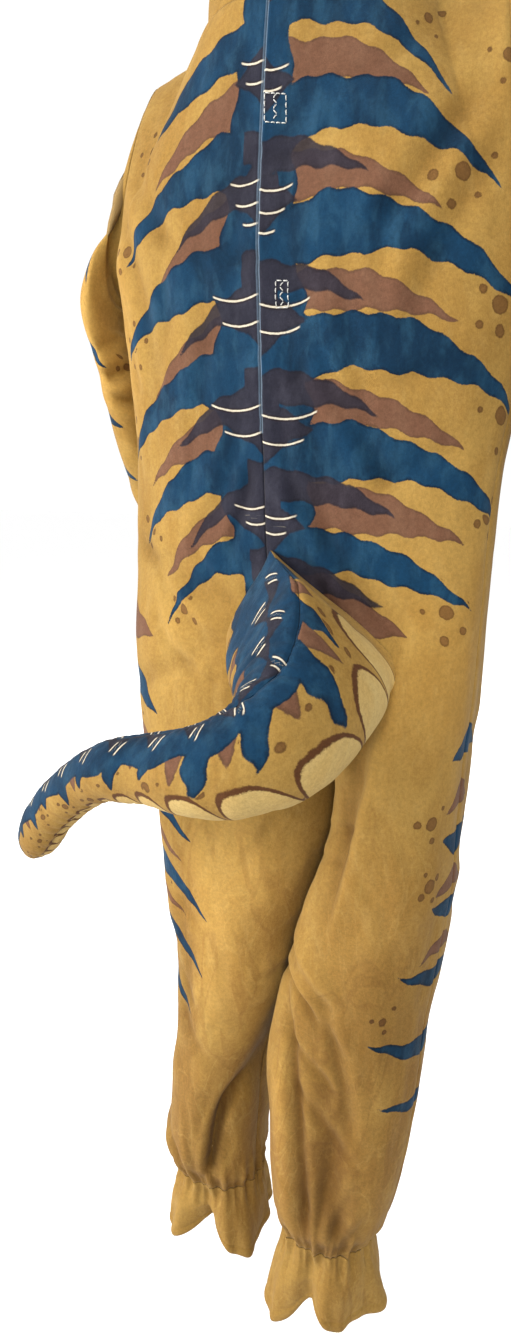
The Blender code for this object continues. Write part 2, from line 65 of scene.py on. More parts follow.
BODY_COLUMNS = ("z", "left", "right", "mid", "gap", "split", "left_y", "right_y", "back", "front")
BODY = (
    (0.835, 0.1500, -0.1610, 0.0000, 0.0004, 0.00, 0.000, 0.000, 0.070, 0.088),
    (0.800, 0.1455, -0.1575, 0.0000, 0.0004, 0.00, 0.000, 0.000, 0.067, 0.092),
    (0.750, 0.1405, -0.1505, 0.0000, 0.0004, 0.00, 0.000, 0.000, 0.062, 0.095),
    (0.700, 0.1390, -0.1435, -0.0010, 0.0004, 0.00, 0.000, 0.000, 0.058, 0.098),
    (0.660, 0.1385, -0.1405, -0.0030, 0.0004, 0.00, 0.000, 0.000, 0.057, 0.099),
    (0.620, 0.1380, -0.1395, -0.0070, 0.0004, 0.06, 0.000, 0.000, 0.058, 0.098),
    (0.580, 0.1370, -0.1385, -0.0170, 0.0004, 0.26, 0.000, 0.000, 0.061, 0.095),
    (0.540, 0.1320, -0.1370, -0.0310, 0.0004, 0.54, 0.000, 0.000, 0.062, 0.090),
    (0.508, 0.1265, -0.1340, -0.0420, 0.0004, 0.80, 0.000, 0.001, 0.061, 0.084),
    (0.482, 0.1210, -0.1335, -0.0470, 0.0005, 1.00, 0.000, 0.002, 0.060, 0.080),
    (0.460, 0.1155, -0.1330, -0.0465, 0.0010, 1.00, 0.000, 0.003, 0.059, 0.077),
    (0.420, 0.1065, -0.1330, -0.0370, 0.0014, 1.00, 0.000, 0.004, 0.058, 0.071),
    (0.380, 0.1005, -0.1290, -0.0235, 0.0020, 1.00, 0.000, 0.005, 0.056, 0.066),
    (0.340, 0.0950, -0.1245, -0.0130, 0.0030, 1.00, 0.000, 0.006, 0.054, 0.062),
    (0.300, 0.0920, -0.1195, -0.0040, 0.0045, 1.00, 0.000, 0.008, 0.052, 0.058),
    (0.260, 0.0915, -0.1180, 0.0040, 0.0070, 1.00, -0.001, 0.010, 0.051, 0.055),
    (0.220, 0.0965, -0.1150, 0.0085, 0.0210, 1.00, -0.002, 0.012, 0.050, 0.053),
    (0.180, 0.1000, -0.1100, 0.0080, 0.0280, 1.00, -0.002, 0.014, 0.049, 0.051),
    (0.145, 0.1030, -0.1030, 0.0070, 0.0320, 1.00, -0.001, 0.015, 0.047, 0.048),
    (0.125, 0.0990, -0.0960, 0.0040, 0.0340, 1.00, 0.000, 0.016, 0.042, 0.043),
    (0.114, 0.0940, -0.0890, 0.0015, 0.0360, 1.00, 0.000, 0.016, 0.036, 0.038),
)

# Creases, each on a curve through three points of the panel as it is seen from
# its own face. depth is negative for a trough, and ridge is the share of it that
# stands up beside it, on the left of the direction of the curve if it is positive.
CREASE_COLUMNS = ("face", "x1", "z1", "x2", "z2", "x3", "z3", "depth", "width", "ridge")
CREASES = (
    # the legs' deepest folds and the pull of the tail
    ("back", 0.008, 0.262, 0.036, 0.176, 0.043, 0.118, -0.0095, 0.0062, 0.0),
    ("back", 0.010, 0.246, 0.036, 0.177, 0.044, 0.112, -0.0050, 0.0040, 0.5),
    ("back", 0.046, 0.232, 0.058, 0.186, 0.064, 0.128, 0.0030, 0.0120, 0.0),
    ("back", 0.012, 0.240, 0.024, 0.208, 0.030, 0.176, 0.0030, 0.0030, 0.0),
    ("back", 0.030, 0.172, 0.033, 0.148, 0.034, 0.122, -0.0030, 0.0034, 0.4),
    ("back", -0.024, 0.318, -0.0430, 0.222, -0.0495, 0.118, -0.0054, 0.0080, 0.0),
    ("back", -0.026, 0.312, -0.0445, 0.216, -0.0500, 0.114, -0.0024, 0.0046, 0.5),
    ("back", -0.042, 0.330, -0.0620, 0.240, -0.0640, 0.140, -0.0042, 0.0140, 0.0),
    ("back", -0.016, 0.270, -0.0280, 0.200, -0.0330, 0.130, 0.0026, 0.0080, 0.0),
    ("back", -0.070, 0.220, -0.074, 0.172, -0.078, 0.124, -0.0050, 0.0080, 0.0),
    ("back", -0.066, 0.186, -0.062, 0.150, -0.055, 0.116, -0.0024, 0.0040, 0.5),
    ("back", -0.096, 0.584, -0.083, 0.500, -0.062, 0.404, -0.0018, 0.0040, -0.6),
    ("back", -0.040, 0.372, -0.046, 0.350, -0.052, 0.330, 0.0030, 0.0120, 0.0),
    ("back", 0.035, 0.610, 0.078, 0.628, 0.120, 0.645, -0.0035, 0.0090, 0.0),
    ("back", 0.040, 0.570, 0.078, 0.555, 0.115, 0.540, -0.0040, 0.0100, 0.0),
    ("back", 0.060, 0.400, 0.065, 0.325, 0.070, 0.250, -0.0030, 0.0130, 0.0),
    ("back", 0.022, 0.580, 0.055, 0.592, 0.096, 0.628, -0.0020, 0.0052, 0.7),
    ("back", 0.030, 0.552, 0.058, 0.560, 0.094, 0.596, -0.0018, 0.0056, 0.6),
    ("back", 0.016, 0.606, 0.040, 0.625, 0.066, 0.660, -0.0013, 0.0045, 0.5),
    ("back", -0.020, 0.690, -0.052, 0.650, -0.092, 0.592, -0.0022, 0.0070, 0.6),
    ("back", -0.014, 0.668, -0.040, 0.630, -0.062, 0.606, -0.0016, 0.0050, 0.5),
    ("back", -0.027, 0.765, -0.036, 0.705, -0.050, 0.645, -0.0016, 0.0080, 0.5),
    ("back", 0.020, 0.720, 0.030, 0.690, 0.050, 0.650, -0.0014, 0.0070, 0.4),
    # the seat and the right leg's long fold below the tail's root
    ("back", -0.104, 0.590, -0.091, 0.505, -0.069, 0.405, 0.0052, 0.0105, 0.0),
    ("back", -0.086, 0.560, -0.073, 0.480, -0.054, 0.390, -0.0060, 0.0095, 0.0),
    ("back", -0.052, 0.449, -0.062, 0.456, -0.076, 0.462, -0.0020, 0.0034, -0.5),
    ("back", -0.040, 0.424, -0.052, 0.432, -0.066, 0.436, -0.0014, 0.0034, -0.5),
    ("back", -0.004, 0.322, -0.030, 0.332, -0.054, 0.306, -0.0026, 0.0042, -0.6),
    ("back", -0.058, 0.322, -0.0740, 0.278, -0.0830, 0.232, -0.0034, 0.0060, -0.6),
    # the back of the right leg
    ("back", -0.016, 0.362, -0.040, 0.345, -0.066, 0.320, -0.0020, 0.0060, -0.7),
    ("back", -0.020, 0.335, -0.048, 0.318, -0.080, 0.286, -0.0015, 0.0050, -0.6),
    ("back", -0.030, 0.290, -0.048, 0.280, -0.068, 0.258, -0.0018, 0.0046, -0.6),
    ("back", -0.028, 0.262, -0.060, 0.236, -0.088, 0.206, -0.0014, 0.0050, -0.5),
    ("back", -0.050, 0.330, -0.074, 0.300, -0.090, 0.240, -0.0012, 0.0080, 0.4),
    ("back", -0.086, 0.180, -0.078, 0.150, -0.070, 0.122, -0.0022, 0.0045, 0.5),
    ("back", -0.098, 0.160, -0.088, 0.138, -0.078, 0.120, -0.0020, 0.0045, 0.5),
    # the back of the left leg
    ("back", 0.082, 0.150, 0.070, 0.131, 0.052, 0.120, -0.0020, 0.0045, 0.5),
    ("back", 0.092, 0.170, 0.086, 0.148, 0.072, 0.126, -0.0016, 0.0050, 0.5),
    ("back", 0.062, 0.190, 0.060, 0.160, 0.056, 0.124, -0.0018, 0.0050, 0.4),
    ("back", 0.086, 0.330, 0.070, 0.300, 0.050, 0.285, -0.0013, 0.0060, 0.5),
    ("back", 0.080, 0.300, 0.062, 0.262, 0.040, 0.240, -0.0013, 0.0060, 0.5),
    ("back", 0.088, 0.400, 0.070, 0.372, 0.046, 0.358, -0.0011, 0.0070, 0.5),
    # the upper back
    ("back", -0.062, 0.806, -0.068, 0.748, -0.080, 0.690, -0.0018, 0.0075, 0.4),
    ("back", 0.046, 0.804, 0.050, 0.742, 0.064, 0.682, -0.0018, 0.0080, 0.4),
    ("back", -0.012, 0.742, -0.022, 0.694, -0.034, 0.652, -0.0022, 0.0055, 0.5),
    ("back", -0.044, 0.764, -0.062, 0.724, -0.090, 0.690, -0.0020, 0.0060, 0.5),
    ("back", 0.010, 0.700, 0.016, 0.672, 0.026, 0.640, -0.0020, 0.0050, 0.5),
    ("back", -0.086, 0.868, -0.080, 0.820, -0.084, 0.775, -0.0016, 0.0075, 0.4),
    ("back", 0.080, 0.850, 0.078, 0.810, 0.086, 0.766, -0.0016, 0.0075, 0.4),
    ("back", -0.128, 0.915, -0.104, 0.872, -0.078, 0.838, -0.0032, 0.0090, 0.5),
    ("back", -0.140, 0.880, -0.118, 0.838, -0.100, 0.786, -0.0032, 0.0085, 0.5),
    ("back", -0.100, 0.960, -0.074, 0.930, -0.036, 0.915, -0.0012, 0.0075, 0.4),
    ("back", 0.112, 0.905, 0.090, 0.866, 0.066, 0.840, -0.0028, 0.0080, 0.5),
    ("back", 0.122, 0.862, 0.104, 0.820, 0.094, 0.760, -0.0032, 0.0085, 0.5),
    ("back", 0.126, 0.780, 0.104, 0.752, 0.070, 0.742, -0.0012, 0.0070, 0.4),
    ("back", -0.134, 0.770, -0.100, 0.752, -0.070, 0.748, -0.0012, 0.0070, 0.4),
    ("back", -0.132, 0.716, -0.104, 0.704, -0.080, 0.690, -0.0014, 0.0080, 0.4),
    ("back", 0.030, 0.876, 0.016, 0.871, 0.001, 0.873, -0.0009, 0.0036, 0.5),
    ("back", -0.034, 0.858, -0.018, 0.852, -0.002, 0.853, -0.0009, 0.0034, 0.5),
    ("back", -0.044, 0.893, -0.022, 0.886, -0.002, 0.889, -0.0010, 0.0036, 0.5),
    ("back", 0.034, 0.828, 0.018, 0.824, 0.001, 0.826, -0.0009, 0.0034, 0.5),
    ("back", -0.040, 0.806, -0.018, 0.800, -0.002, 0.801, -0.0010, 0.0036, 0.5),
    ("back", 0.040, 0.780, 0.020, 0.774, 0.001, 0.776, -0.0009, 0.0036, 0.5),
    ("back", -0.030, 0.757, -0.016, 0.751, -0.002, 0.753, -0.0008, 0.0034, 0.5),
    ("back", 0.028, 0.738, 0.014, 0.730, 0.000, 0.729, -0.0010, 0.0036, 0.5),
    # the front
    ("front", -0.070, 0.580, -0.050, 0.540, -0.030, 0.500, -0.0050, 0.0110, 0.0),
    ("front", 0.075, 0.570, 0.052, 0.535, 0.030, 0.500, -0.0050, 0.0110, 0.0),
    ("front", 0.055, 0.240, 0.052, 0.181, 0.050, 0.122, -0.0050, 0.0095, 0.0),
    ("front", -0.060, 0.250, -0.056, 0.186, -0.052, 0.122, -0.0050, 0.0095, 0.0),
    ("front", 0.090, 0.800, 0.072, 0.760, 0.055, 0.720, -0.0040, 0.0120, 0.0),
    ("front", -0.088, 0.810, -0.069, 0.762, -0.050, 0.715, -0.0040, 0.0120, 0.0),
    ("front", 0.104, 0.610, 0.070, 0.556, 0.010, 0.516, -0.0022, 0.0060, 0.6),
    ("front", -0.108, 0.616, -0.078, 0.560, -0.046, 0.520, -0.0022, 0.0060, 0.6),
    ("front", 0.112, 0.652, 0.070, 0.606, 0.026, 0.585, -0.0016, 0.0070, 0.5),
    ("front", -0.114, 0.660, -0.080, 0.612, -0.036, 0.590, -0.0016, 0.0070, 0.5),
    ("front", 0.050, 0.236, 0.054, 0.180, 0.050, 0.116, -0.0018, 0.0046, 0.5),
    ("front", -0.056, 0.246, -0.060, 0.186, -0.054, 0.116, -0.0018, 0.0046, 0.5),
    ("front", 0.080, 0.205, 0.074, 0.160, 0.066, 0.118, -0.0030, 0.0050, 0.5),
    ("front", -0.082, 0.205, -0.078, 0.160, -0.070, 0.118, -0.0030, 0.0050, 0.5),
    ("front", 0.030, 0.190, 0.034, 0.150, 0.034, 0.118, -0.0026, 0.0045, 0.5),
    ("front", -0.032, 0.190, -0.036, 0.150, -0.034, 0.118, -0.0026, 0.0045, 0.5),
    ("front", 0.086, 0.330, 0.060, 0.312, 0.030, 0.322, -0.0018, 0.0060, 0.5),
    ("front", 0.082, 0.296, 0.058, 0.276, 0.026, 0.284, -0.0018, 0.0060, 0.5),
    ("front", -0.096, 0.330, -0.066, 0.310, -0.030, 0.320, -0.0018, 0.0060, 0.5),
    ("front", -0.092, 0.292, -0.064, 0.274, -0.030, 0.280, -0.0018, 0.0060, 0.5),
    ("front", 0.116, 0.890, 0.090, 0.850, 0.060, 0.826, -0.0024, 0.0080, 0.5),
    ("front", -0.120, 0.896, -0.092, 0.850, -0.062, 0.826, -0.0024, 0.0080, 0.5),
    ("front", 0.070, 0.940, 0.030, 0.906, -0.016, 0.900, -0.0014, 0.0080, 0.4),
    ("front", -0.080, 0.930, -0.046, 0.896, -0.004, 0.880, -0.0014, 0.0080, 0.4),
)

SLEEVE_COLUMNS = ("in_x", "in_z", "out_x", "out_z", "y", "half_depth", "lean")
SLEEVE = (
    (0.1550, 0.8290, 0.1310, 0.9350, -0.002, 0.0335, 0),
    (0.1580, 0.8230, 0.1375, 0.9070, -0.002, 0.0370, 0),
    (0.1600, 0.8150, 0.1570, 0.8770, 0.000, 0.0410, 3),
    (0.1590, 0.8020, 0.1815, 0.8450, -0.006, 0.0415, 10),
    (0.1560, 0.7830, 0.1835, 0.8030, -0.019, 0.0400, 20),
    (0.1510, 0.7600, 0.1885, 0.7660, -0.035, 0.0395, 26),
    (0.1450, 0.7250, 0.1920, 0.7270, -0.056, 0.0380, 29),
    (0.1400, 0.6900, 0.1950, 0.6910, -0.076, 0.0360, 31),
    (0.1370, 0.6600, 0.1930, 0.6600, -0.096, 0.0340, 32),
    (0.1360, 0.6380, 0.1910, 0.6380, -0.108, 0.0325, 32),
)
SLEEVE_OUT = {"left": 0.0, "right": 0.011}
SLEEVE_TOP_IN = {"left": 0.012, "right": 0.0}  # how far in the outer edge of the first section sits

# Creases across a sleeve: how far along it, where round it in turns from the
# underarm by way of the back, how far round it reaches, the slant in metres a
# turn, and the depth and width.
SLEEVE_CREASE_COLUMNS = ("along", "turn", "reach", "slant", "depth", "width")
SLEEVE_CREASES = (
    (0.028, 0.92, 0.20, -0.060, -0.0022, 0.0055),
    (0.052, 0.90, 0.24, -0.050, -0.0024, 0.0060),
    (0.098, 0.84, 0.26, -0.045, -0.0030, 0.0060),
    (0.122, 0.82, 0.30, -0.025, -0.0044, 0.0062),
    (0.146, 0.80, 0.32, 0.012, -0.0048, 0.0066),
    (0.168, 0.82, 0.26, 0.040, -0.0036, 0.0058),
    (0.116, 0.16, 0.17, 0.090, -0.0036, 0.0060),
    (0.139, 0.17, 0.18, 0.020, -0.0042, 0.0064),
    (0.160, 0.16, 0.17, -0.070, -0.0036, 0.0060),
    (0.200, 0.20, 0.15, -0.070, -0.0014, 0.0066),
    (0.134, 0.10, 0.16, 0.060, -0.0030, 0.0058),
    (0.160, 0.08, 0.18, -0.050, -0.0030, 0.0058),
    (0.196, 0.10, 0.20, -0.080, -0.0020, 0.0060),
    (0.212, 0.70, 0.24, 0.050, -0.0020, 0.0066),
    (0.238, 0.20, 0.22, -0.060, -0.0016, 0.0060),
    (0.262, 0.60, 0.26, 0.040, -0.0015, 0.0066),
    (0.070, 0.40, 0.18, 0.090, -0.0014, 0.0070),
    (0.110, 0.46, 0.16, -0.080, -0.0012, 0.0070),
)

COVER_COLUMNS = ("drop", "spread", "back_shift", "wave")
COVER = (
    (0.000, 0.0000, 0.000, 0.0000),
    (0.010, 0.0005, 0.000, 0.0000),
    (0.024, 0.0045, -0.001, 0.0012),
    (0.040, 0.0070, -0.003, 0.0030),
    (0.055, 0.0085, -0.005, 0.0050),
)
COVER_LOBES = {"left": (5, 0.95), "right": (5, 0.0)}
COVER_SHIFT = {"left": 0.0, "right": 0.03}
COVER_STRETCH = {"left": 1.0, "right": 1.12}  # of the drop
COVER_NOTCH_TURN = {"left": 0.27, "right": 0.245}
COVER_LONGER = {"left": (0.45, 0.07, 0.12), "right": (0.37, 0.10, 0.34)}  # turn, width in turns, share of the drop
COVER_DRAWN = {"left": (0.57, 0.06, 0.013), "right": (0.55, 0.07, 0.003)}  # turn, width in turns, how far in
COVER_VALLEY = 0.010

TAIL_COLUMNS = ("x", "y", "z", "half_wide", "half_high", "egg")
TAIL = (
    (-0.0340, 0.060, 0.5970, 0.0500, 0.0520, 0.85),
    (-0.0480, 0.084, 0.5840, 0.0480, 0.0480, 0.62),
    (-0.0600, 0.106, 0.5690, 0.0450, 0.0430, 0.38),
    (-0.0650, 0.128, 0.5520, 0.0400, 0.0390, 0.18),
    (-0.0570, 0.147, 0.5350, 0.0350, 0.0350, 0.06),
    (-0.0350, 0.157, 0.5240, 0.0300, 0.0300, 0.00),
    (-0.0110, 0.161, 0.5190, 0.0255, 0.0260, 0.00),
    (0.0150, 0.160, 0.5160, 0.0215, 0.0225, 0.00),
    (0.0410, 0.157, 0.5100, 0.0195, 0.0205, 0.00),
    (0.0660, 0.152, 0.4990, 0.0185, 0.0190, 0.00),
    (0.0900, 0.146, 0.4830, 0.0178, 0.0180, 0.00),
    (0.1140, 0.138, 0.4620, 0.0170, 0.0170, 0.00),
    (0.1350, 0.129, 0.4390, 0.0150, 0.0150, 0.00),
    (0.1440, 0.124, 0.4260, 0.0090, 0.0090, 0.00),
)
TAIL_TURN_SHARES = (0.0, 0.15, 0.4, 0.7, 0.95)
TAIL_ROOT_LEAN = 0.024
TAIL_CLEAR = 0.0012

# The print of the back, in metres from the centre back seam and above the floor.
# A crescent starts on the spine, rises and then droops to its point.
CRESCENT_COLUMNS = ("side", "z", "reach", "half", "rise", "droop")
BLUE_CRESCENTS = (
    ("right", 0.968, 0.118, 0.0150, 0.34, 0.070),
    ("left", 0.945, 0.096, 0.0150, 0.02, 0.040),
    ("right", 0.900, 0.150, 0.0185, 0.42, 0.058),
    ("left", 0.880, 0.122, 0.0175, 0.10, 0.052),
    ("right", 0.832, 0.168, 0.0190, 0.36, 0.052),
    ("left", 0.814, 0.134, 0.0180, 0.14, 0.050),
    ("right", 0.765, 0.176, 0.0200, 0.34, 0.046),
    ("left", 0.750, 0.136, 0.0185, 0.16, 0.056),
    ("right", 0.702, 0.172, 0.0190, 0.30, 0.050),
    ("left", 0.690, 0.120, 0.0170, 0.22, 0.060),
    ("right", 0.645, 0.140, 0.0165, 0.16, 0.040),
    ("left", 0.634, 0.092, 0.0130, 0.30, 0.060),
)
BROWN_CRESCENTS = (
    ("right", 0.934, 0.104, 0.0150, 0.20, 0.030),
    ("left", 0.916, 0.088, 0.0150, -0.10, 0.040),
    ("right", 0.868, 0.116, 0.0140, 0.24, 0.030),
    ("left", 0.848, 0.096, 0.0140, -0.04, 0.050),
    ("right", 0.799, 0.128, 0.0145, 0.28, 0.024),
    ("left", 0.782, 0.102, 0.0140, 0.00, 0.050),
    ("right", 0.734, 0.134, 0.0160, 0.22, 0.030),
    ("left", 0.720, 0.104, 0.0150, 0.02, 0.040),
    ("right", 0.672, 0.136, 0.0180, 0.16, 0.024),
    ("left", 0.662, 0.090, 0.0150, 0.10, 0.050),
    ("right", 0.616, 0.092, 0.0260, -0.06, 0.020),
)
PLUM_CRESCENTS = (
    ("right", 0.885, 0.072, 0.0100, 0.10, 0.020),
    ("left", 0.864, 0.066, 0.0100, -0.12, 0.030),
    ("right", 0.815, 0.070, 0.0100, 0.12, 0.020),
    ("left", 0.798, 0.066, 0.0105, -0.06, 0.030),
    ("right", 0.748, 0.080, 0.0110, 0.14, 0.020),
    ("left", 0.736, 0.070, 0.0110, -0.02, 0.030),
    ("right", 0.687, 0.090, 0.0120, 0.10, 0.020),
    ("left", 0.676, 0.064, 0.0110, 0.06, 0.040),
    ("right", 0.630, 0.080, 0.0120, 0.06, 0.020),
)
SPINE = ((1.05, 0.012), (0.96, 0.016), (0.90, 0.021), (0.84, 0.026), (0.76, 0.034), (0.69, 0.034), (0.64, 0.026), (0.59, 0.012), (0.55, 0.002))
SCUTES = (  # height, half width, half height
    (0.985, 0.016, 0.015), (0.925, 0.021, 0.018), (0.858, 0.026, 0.020),
    (0.790, 0.034, 0.022), (0.724, 0.037, 0.023), (0.662, 0.030, 0.021),
)  # fmt: skip
CHEVRONS = (  # height, reach, slope, side shift
    (0.992, 0.013, 0.30, 0.0), (0.980, 0.010, 0.30, 0.0), (0.934, 0.017, 0.32, 0.0), (0.922, 0.013, 0.32, 0.0),
    (0.866, 0.023, 0.34, 0.0), (0.853, 0.018, 0.34, 0.0), (0.841, 0.012, 0.34, 0.0), (0.800, 0.036, 0.36, 0.0), (0.784, 0.029, 0.36, 0.0),
    (0.733, 0.040, 0.36, 0.0), (0.716, 0.030, 0.36, 0.0), (0.668, 0.024, 0.36, 0.0), (0.657, 0.016, 0.36, 0.0),
)  # fmt: skip
# Clusters of spots: where, as for the crescents, then how far they spread and
# the radius of the largest.
SPOT_COLUMNS = ("across", "z", "spread", "largest", "count")
BACK_SPOTS = (
    (-0.126, 0.866, 0.018, 0.0050, 6),
    (-0.150, 0.930, 0.015, 0.0042, 5),
    (-0.102, 0.958, 0.012, 0.0034, 5),
    (-0.152, 0.796, 0.016, 0.0056, 6),
    (-0.160, 0.734, 0.016, 0.0058, 5),
    (-0.154, 0.672, 0.014, 0.0056, 5),
    (-0.120, 0.610, 0.016, 0.0052, 6),
    (0.106, 0.912, 0.014, 0.0038, 6),
    (0.122, 0.848, 0.014, 0.0044, 6),
    (0.116, 0.784, 0.013, 0.0044, 6),
    (0.128, 0.718, 0.013, 0.0048, 6),
    (0.104, 0.656, 0.013, 0.0044, 5),
    (0.074, 0.600, 0.011, 0.0040, 5),
)
# Drops along the side seam: height, reach on to the back, reach on to the front,
# half width at the seam, and fall over their reach.
DROP_COLUMNS = ("side", "z", "back", "front", "half", "fall")
BLUE_DROPS = (
    ("left", 0.552, 0.074, 0.030, 0.0190, 0.034),
    ("left", 0.474, 0.088, 0.034, 0.0180, 0.050),
    ("left", 0.420, 0.092, 0.034, 0.0180, 0.056),
    ("left", 0.364, 0.082, 0.030, 0.0150, 0.050),
    ("left", 0.312, 0.066, 0.024, 0.0105, 0.038),
    ("right", 0.448, 0.026, 0.034, 0.0100, -0.006),
    ("right", 0.398, 0.030, 0.034, 0.0085, -0.008),
    ("right", 0.346, 0.046, 0.034, 0.0080, -0.010),
    ("right", 0.290, 0.058, 0.030, 0.0085, -0.014),
    ("right", 0.244, 0.044, 0.026, 0.0055, -0.010),
    ("right", 0.520, 0.026, 0.040, 0.0110, 0.010),
)
BROWN_DROPS = (
    ("left", 0.588, 0.072, 0.030, 0.0200, 0.010),
    ("left", 0.510, 0.074, 0.024, 0.0150, 0.030),
    ("left", 0.446, 0.074, 0.024, 0.0110, 0.042),
    ("left", 0.392, 0.066, 0.022, 0.0080, 0.034),
    ("right", 0.484, 0.026, 0.024, 0.0090, 0.010),
    ("right", 0.422, 0.028, 0.022, 0.0080, 0.010),
    ("right", 0.372, 0.030, 0.022, 0.0070, 0.010),
)
# Spots by the side seam, measured from it, with the back positive.
SIDE_SPOTS = {
    "left": ((0.040, 0.500, 0.012, 0.0036, 5), (0.050, 0.392, 0.010, 0.0032, 5), (0.036, 0.338, 0.010, 0.0028, 4), (-0.050, 0.450, 0.014, 0.0050, 5)),
    "right": ((0.040, 0.470, 0.010, 0.0048, 4), (0.036, 0.425, 0.010, 0.0050, 5), (0.050, 0.322, 0.010, 0.0030, 4), (-0.050, 0.450, 0.014, 0.0050, 5)),
}
FRONT_SPOTS = (
    (-0.120, 0.880, 0.014, 0.0050, 5),
    (0.120, 0.872, 0.014, 0.0050, 5),
    (-0.140, 0.740, 0.014, 0.0060, 5),
    (0.138, 0.752, 0.014, 0.0060, 5),
    (-0.130, 0.620, 0.014, 0.0060, 5),
    (0.132, 0.610, 0.014, 0.0060, 5),
)


def column(table, names, name):
    at = names.index(name)
    return np.array([row[at] for row in table], float)


def smooth(at, xs, ys):
    """Cubic interpolation through the rows of a table, with no overshoot."""
    if xs[0] > xs[-1]:
        xs, ys = xs[::-1], ys[::-1]
    step = np.diff(xs)
    slope = np.diff(ys) / step
    tangent = np.zeros(len(xs))
    for i in range(1, len(xs) - 1):
        if slope[i - 1] * slope[i] > 0:
            tangent[i] = 2 * slope[i - 1] * slope[i] / (slope[i - 1] + slope[i])
    tangent[0], tangent[-1] = slope[0], slope[-1]
    at = np.clip(at, xs[0], xs[-1])
    i = np.clip(np.searchsorted(xs, at) - 1, 0, len(step) - 1)
    t = (at - xs[i]) / step[i]
    return (
        (2 * t**3 - 3 * t**2 + 1) * ys[i]
        + (t**3 - 2 * t**2 + t) * step[i] * tangent[i]
        + (3 * t**2 - 2 * t**3) * ys[i + 1]
        + (t**3 - t**2) * step[i] * tangent[i + 1]
    )


BODY_HEIGHTS = column(BODY, BODY_COLUMNS, "z")
BODY_VALUES = {name: column(BODY, BODY_COLUMNS, name) for name in BODY_COLUMNS}


def body(name, z):
    return smooth(z, BODY_HEIGHTS, BODY_VALUES[name])


def unit(v):
    return v / np.maximum(np.linalg.norm(v, axis=-1, keepdims=True), 1e-12)


def step01(x, low, high):
    t = np.clip((x - low) / (high - low), 0, 1)
    return t * t * (3 - 2 * t)


# ---------------------------------------------------------------- noise

LATTICE = np.random.default_rng(7).random((32, 32, 32))


def noise(points, scale, seed=0):
    """Smooth noise from -1 to 1 at points, whose last axis is X, Y and Z. scale is cells for each metre."""
    q = points * np.asarray(scale, float) + 101.3 * (seed + 1)
    base = np.floor(q).astype(int)
    f = q - base
    f = f * f * (3 - 2 * f)
    total = 0.0
    for dx in (0, 1):
        for dy in (0, 1):
            for dz in (0, 1):
                weight = (f[..., 0] if dx else 1 - f[..., 0]) * (f[..., 1] if dy else 1 - f[..., 1]) * (f[..., 2] if dz else 1 - f[..., 2])
                total = total + weight * LATTICE[(base[..., 0] + dx) % 32, (base[..., 1] + dy) % 32, (base[..., 2] + dz) % 32]
    return 2 * total - 1


# ---------------------------------------------------------------- the form


def half_section(side, z):
    s = 1 if side == "left" else -1
    split = np.clip(body("split", z), 0, 1)
    inner = body("mid", z) + s * body("gap", z) / 2
    span = (body(side, z) - inner) * s
    radius = span / (1 + split)
    return inner + s * (span - radius), radius, split


def lower_point(side, face, w, z):
    s = 1 if side == "left" else -1
    t = 1 if face == "back" else -1
    middle, radius, split = half_section(side, z)
    last = np.arccos(-np.clip(split, 0, 1) ** (1 / SQUARENESS))
    angle = last * w
    c, q = np.cos(angle), np.maximum(np.sin(angle), 0)
    x = middle + s * radius * np.sign(c) * np.abs(c) ** SQUARENESS
    y = body(side + "_y", z) + t * body(face, z) * np.abs(q) ** SQUARENESS
    return np.stack([x, y, np.broadcast_to(z, x.shape)], -1)


def top_point(side, face, w):
    s = 1 if side == "left" else -1
    t = 1 if face == "back" else -1
    share = np.clip(w / NECK_SHARE, 0, 1)
    turn = np.clip((w - NECK_SHARE) / (1 - NECK_SHARE), 0, 1) * math.pi / 2
    corner, neck = SHOULDER_CORNER[side], NECK_POINT[side]
    x = np.where(w < NECK_SHARE, corner[0] + (neck[0] - corner[0]) * share, neck[0] * np.cos(turn))
    drop = NECK_CENTRE_HEIGHT[face] - neck[1]
    z = np.where(w < NECK_SHARE, corner[1] + (neck[1] - corner[1]) * share, neck[1] + drop * np.sin(turn) ** 1.5)
    y = t * NECK_DEPTH[face] * np.sin(turn)
    return np.stack([s * x, y, z], -1)


def upper_point(side, face, w, v):
    s = 1 if side == "left" else -1
    t = 1 if face == "back" else -1
    w, v = np.broadcast_arrays(w, v)
    base = lower_point(side, face, w, np.full(w.shape, UNDERARM_HEIGHT))
    top = top_point(side, face, w)
    rise = 0.75 * v**1.7 + 0.25 * (1 - np.sqrt(np.maximum(1 - v * v, 0)))
    point = base + (top - base) * v[..., None]
    point[..., 1] = base[..., 1] + (top[..., 1] - base[..., 1]) * rise
    belly = (4 * v * (1 - v)) ** 0.75
    point[..., 1] += t * ARMHOLE_DEPTH[face] * belly * (1 - w) ** 2.2
    point[..., 0] -= s * ARMHOLE_HOLLOW[side] * (4 * v * (1 - v)) ** 0.6 * v**0.35 * (1 - w) ** 3
    return point


def back_y(x, z):
    best = np.full(np.shape(x), -1.0)
    for side in ("left", "right"):
        middle, radius, _ = half_section(side, z)
        share = np.clip(np.abs((x - middle) / radius), 0, 1)
        y = body(side + "_y", z) + body("back", z) * (1 - share ** (2 / SQUARENESS)) ** (SQUARENESS / 2)
        best = np.where(np.abs(x - middle) <= radius, np.maximum(best, y), best)
    return best


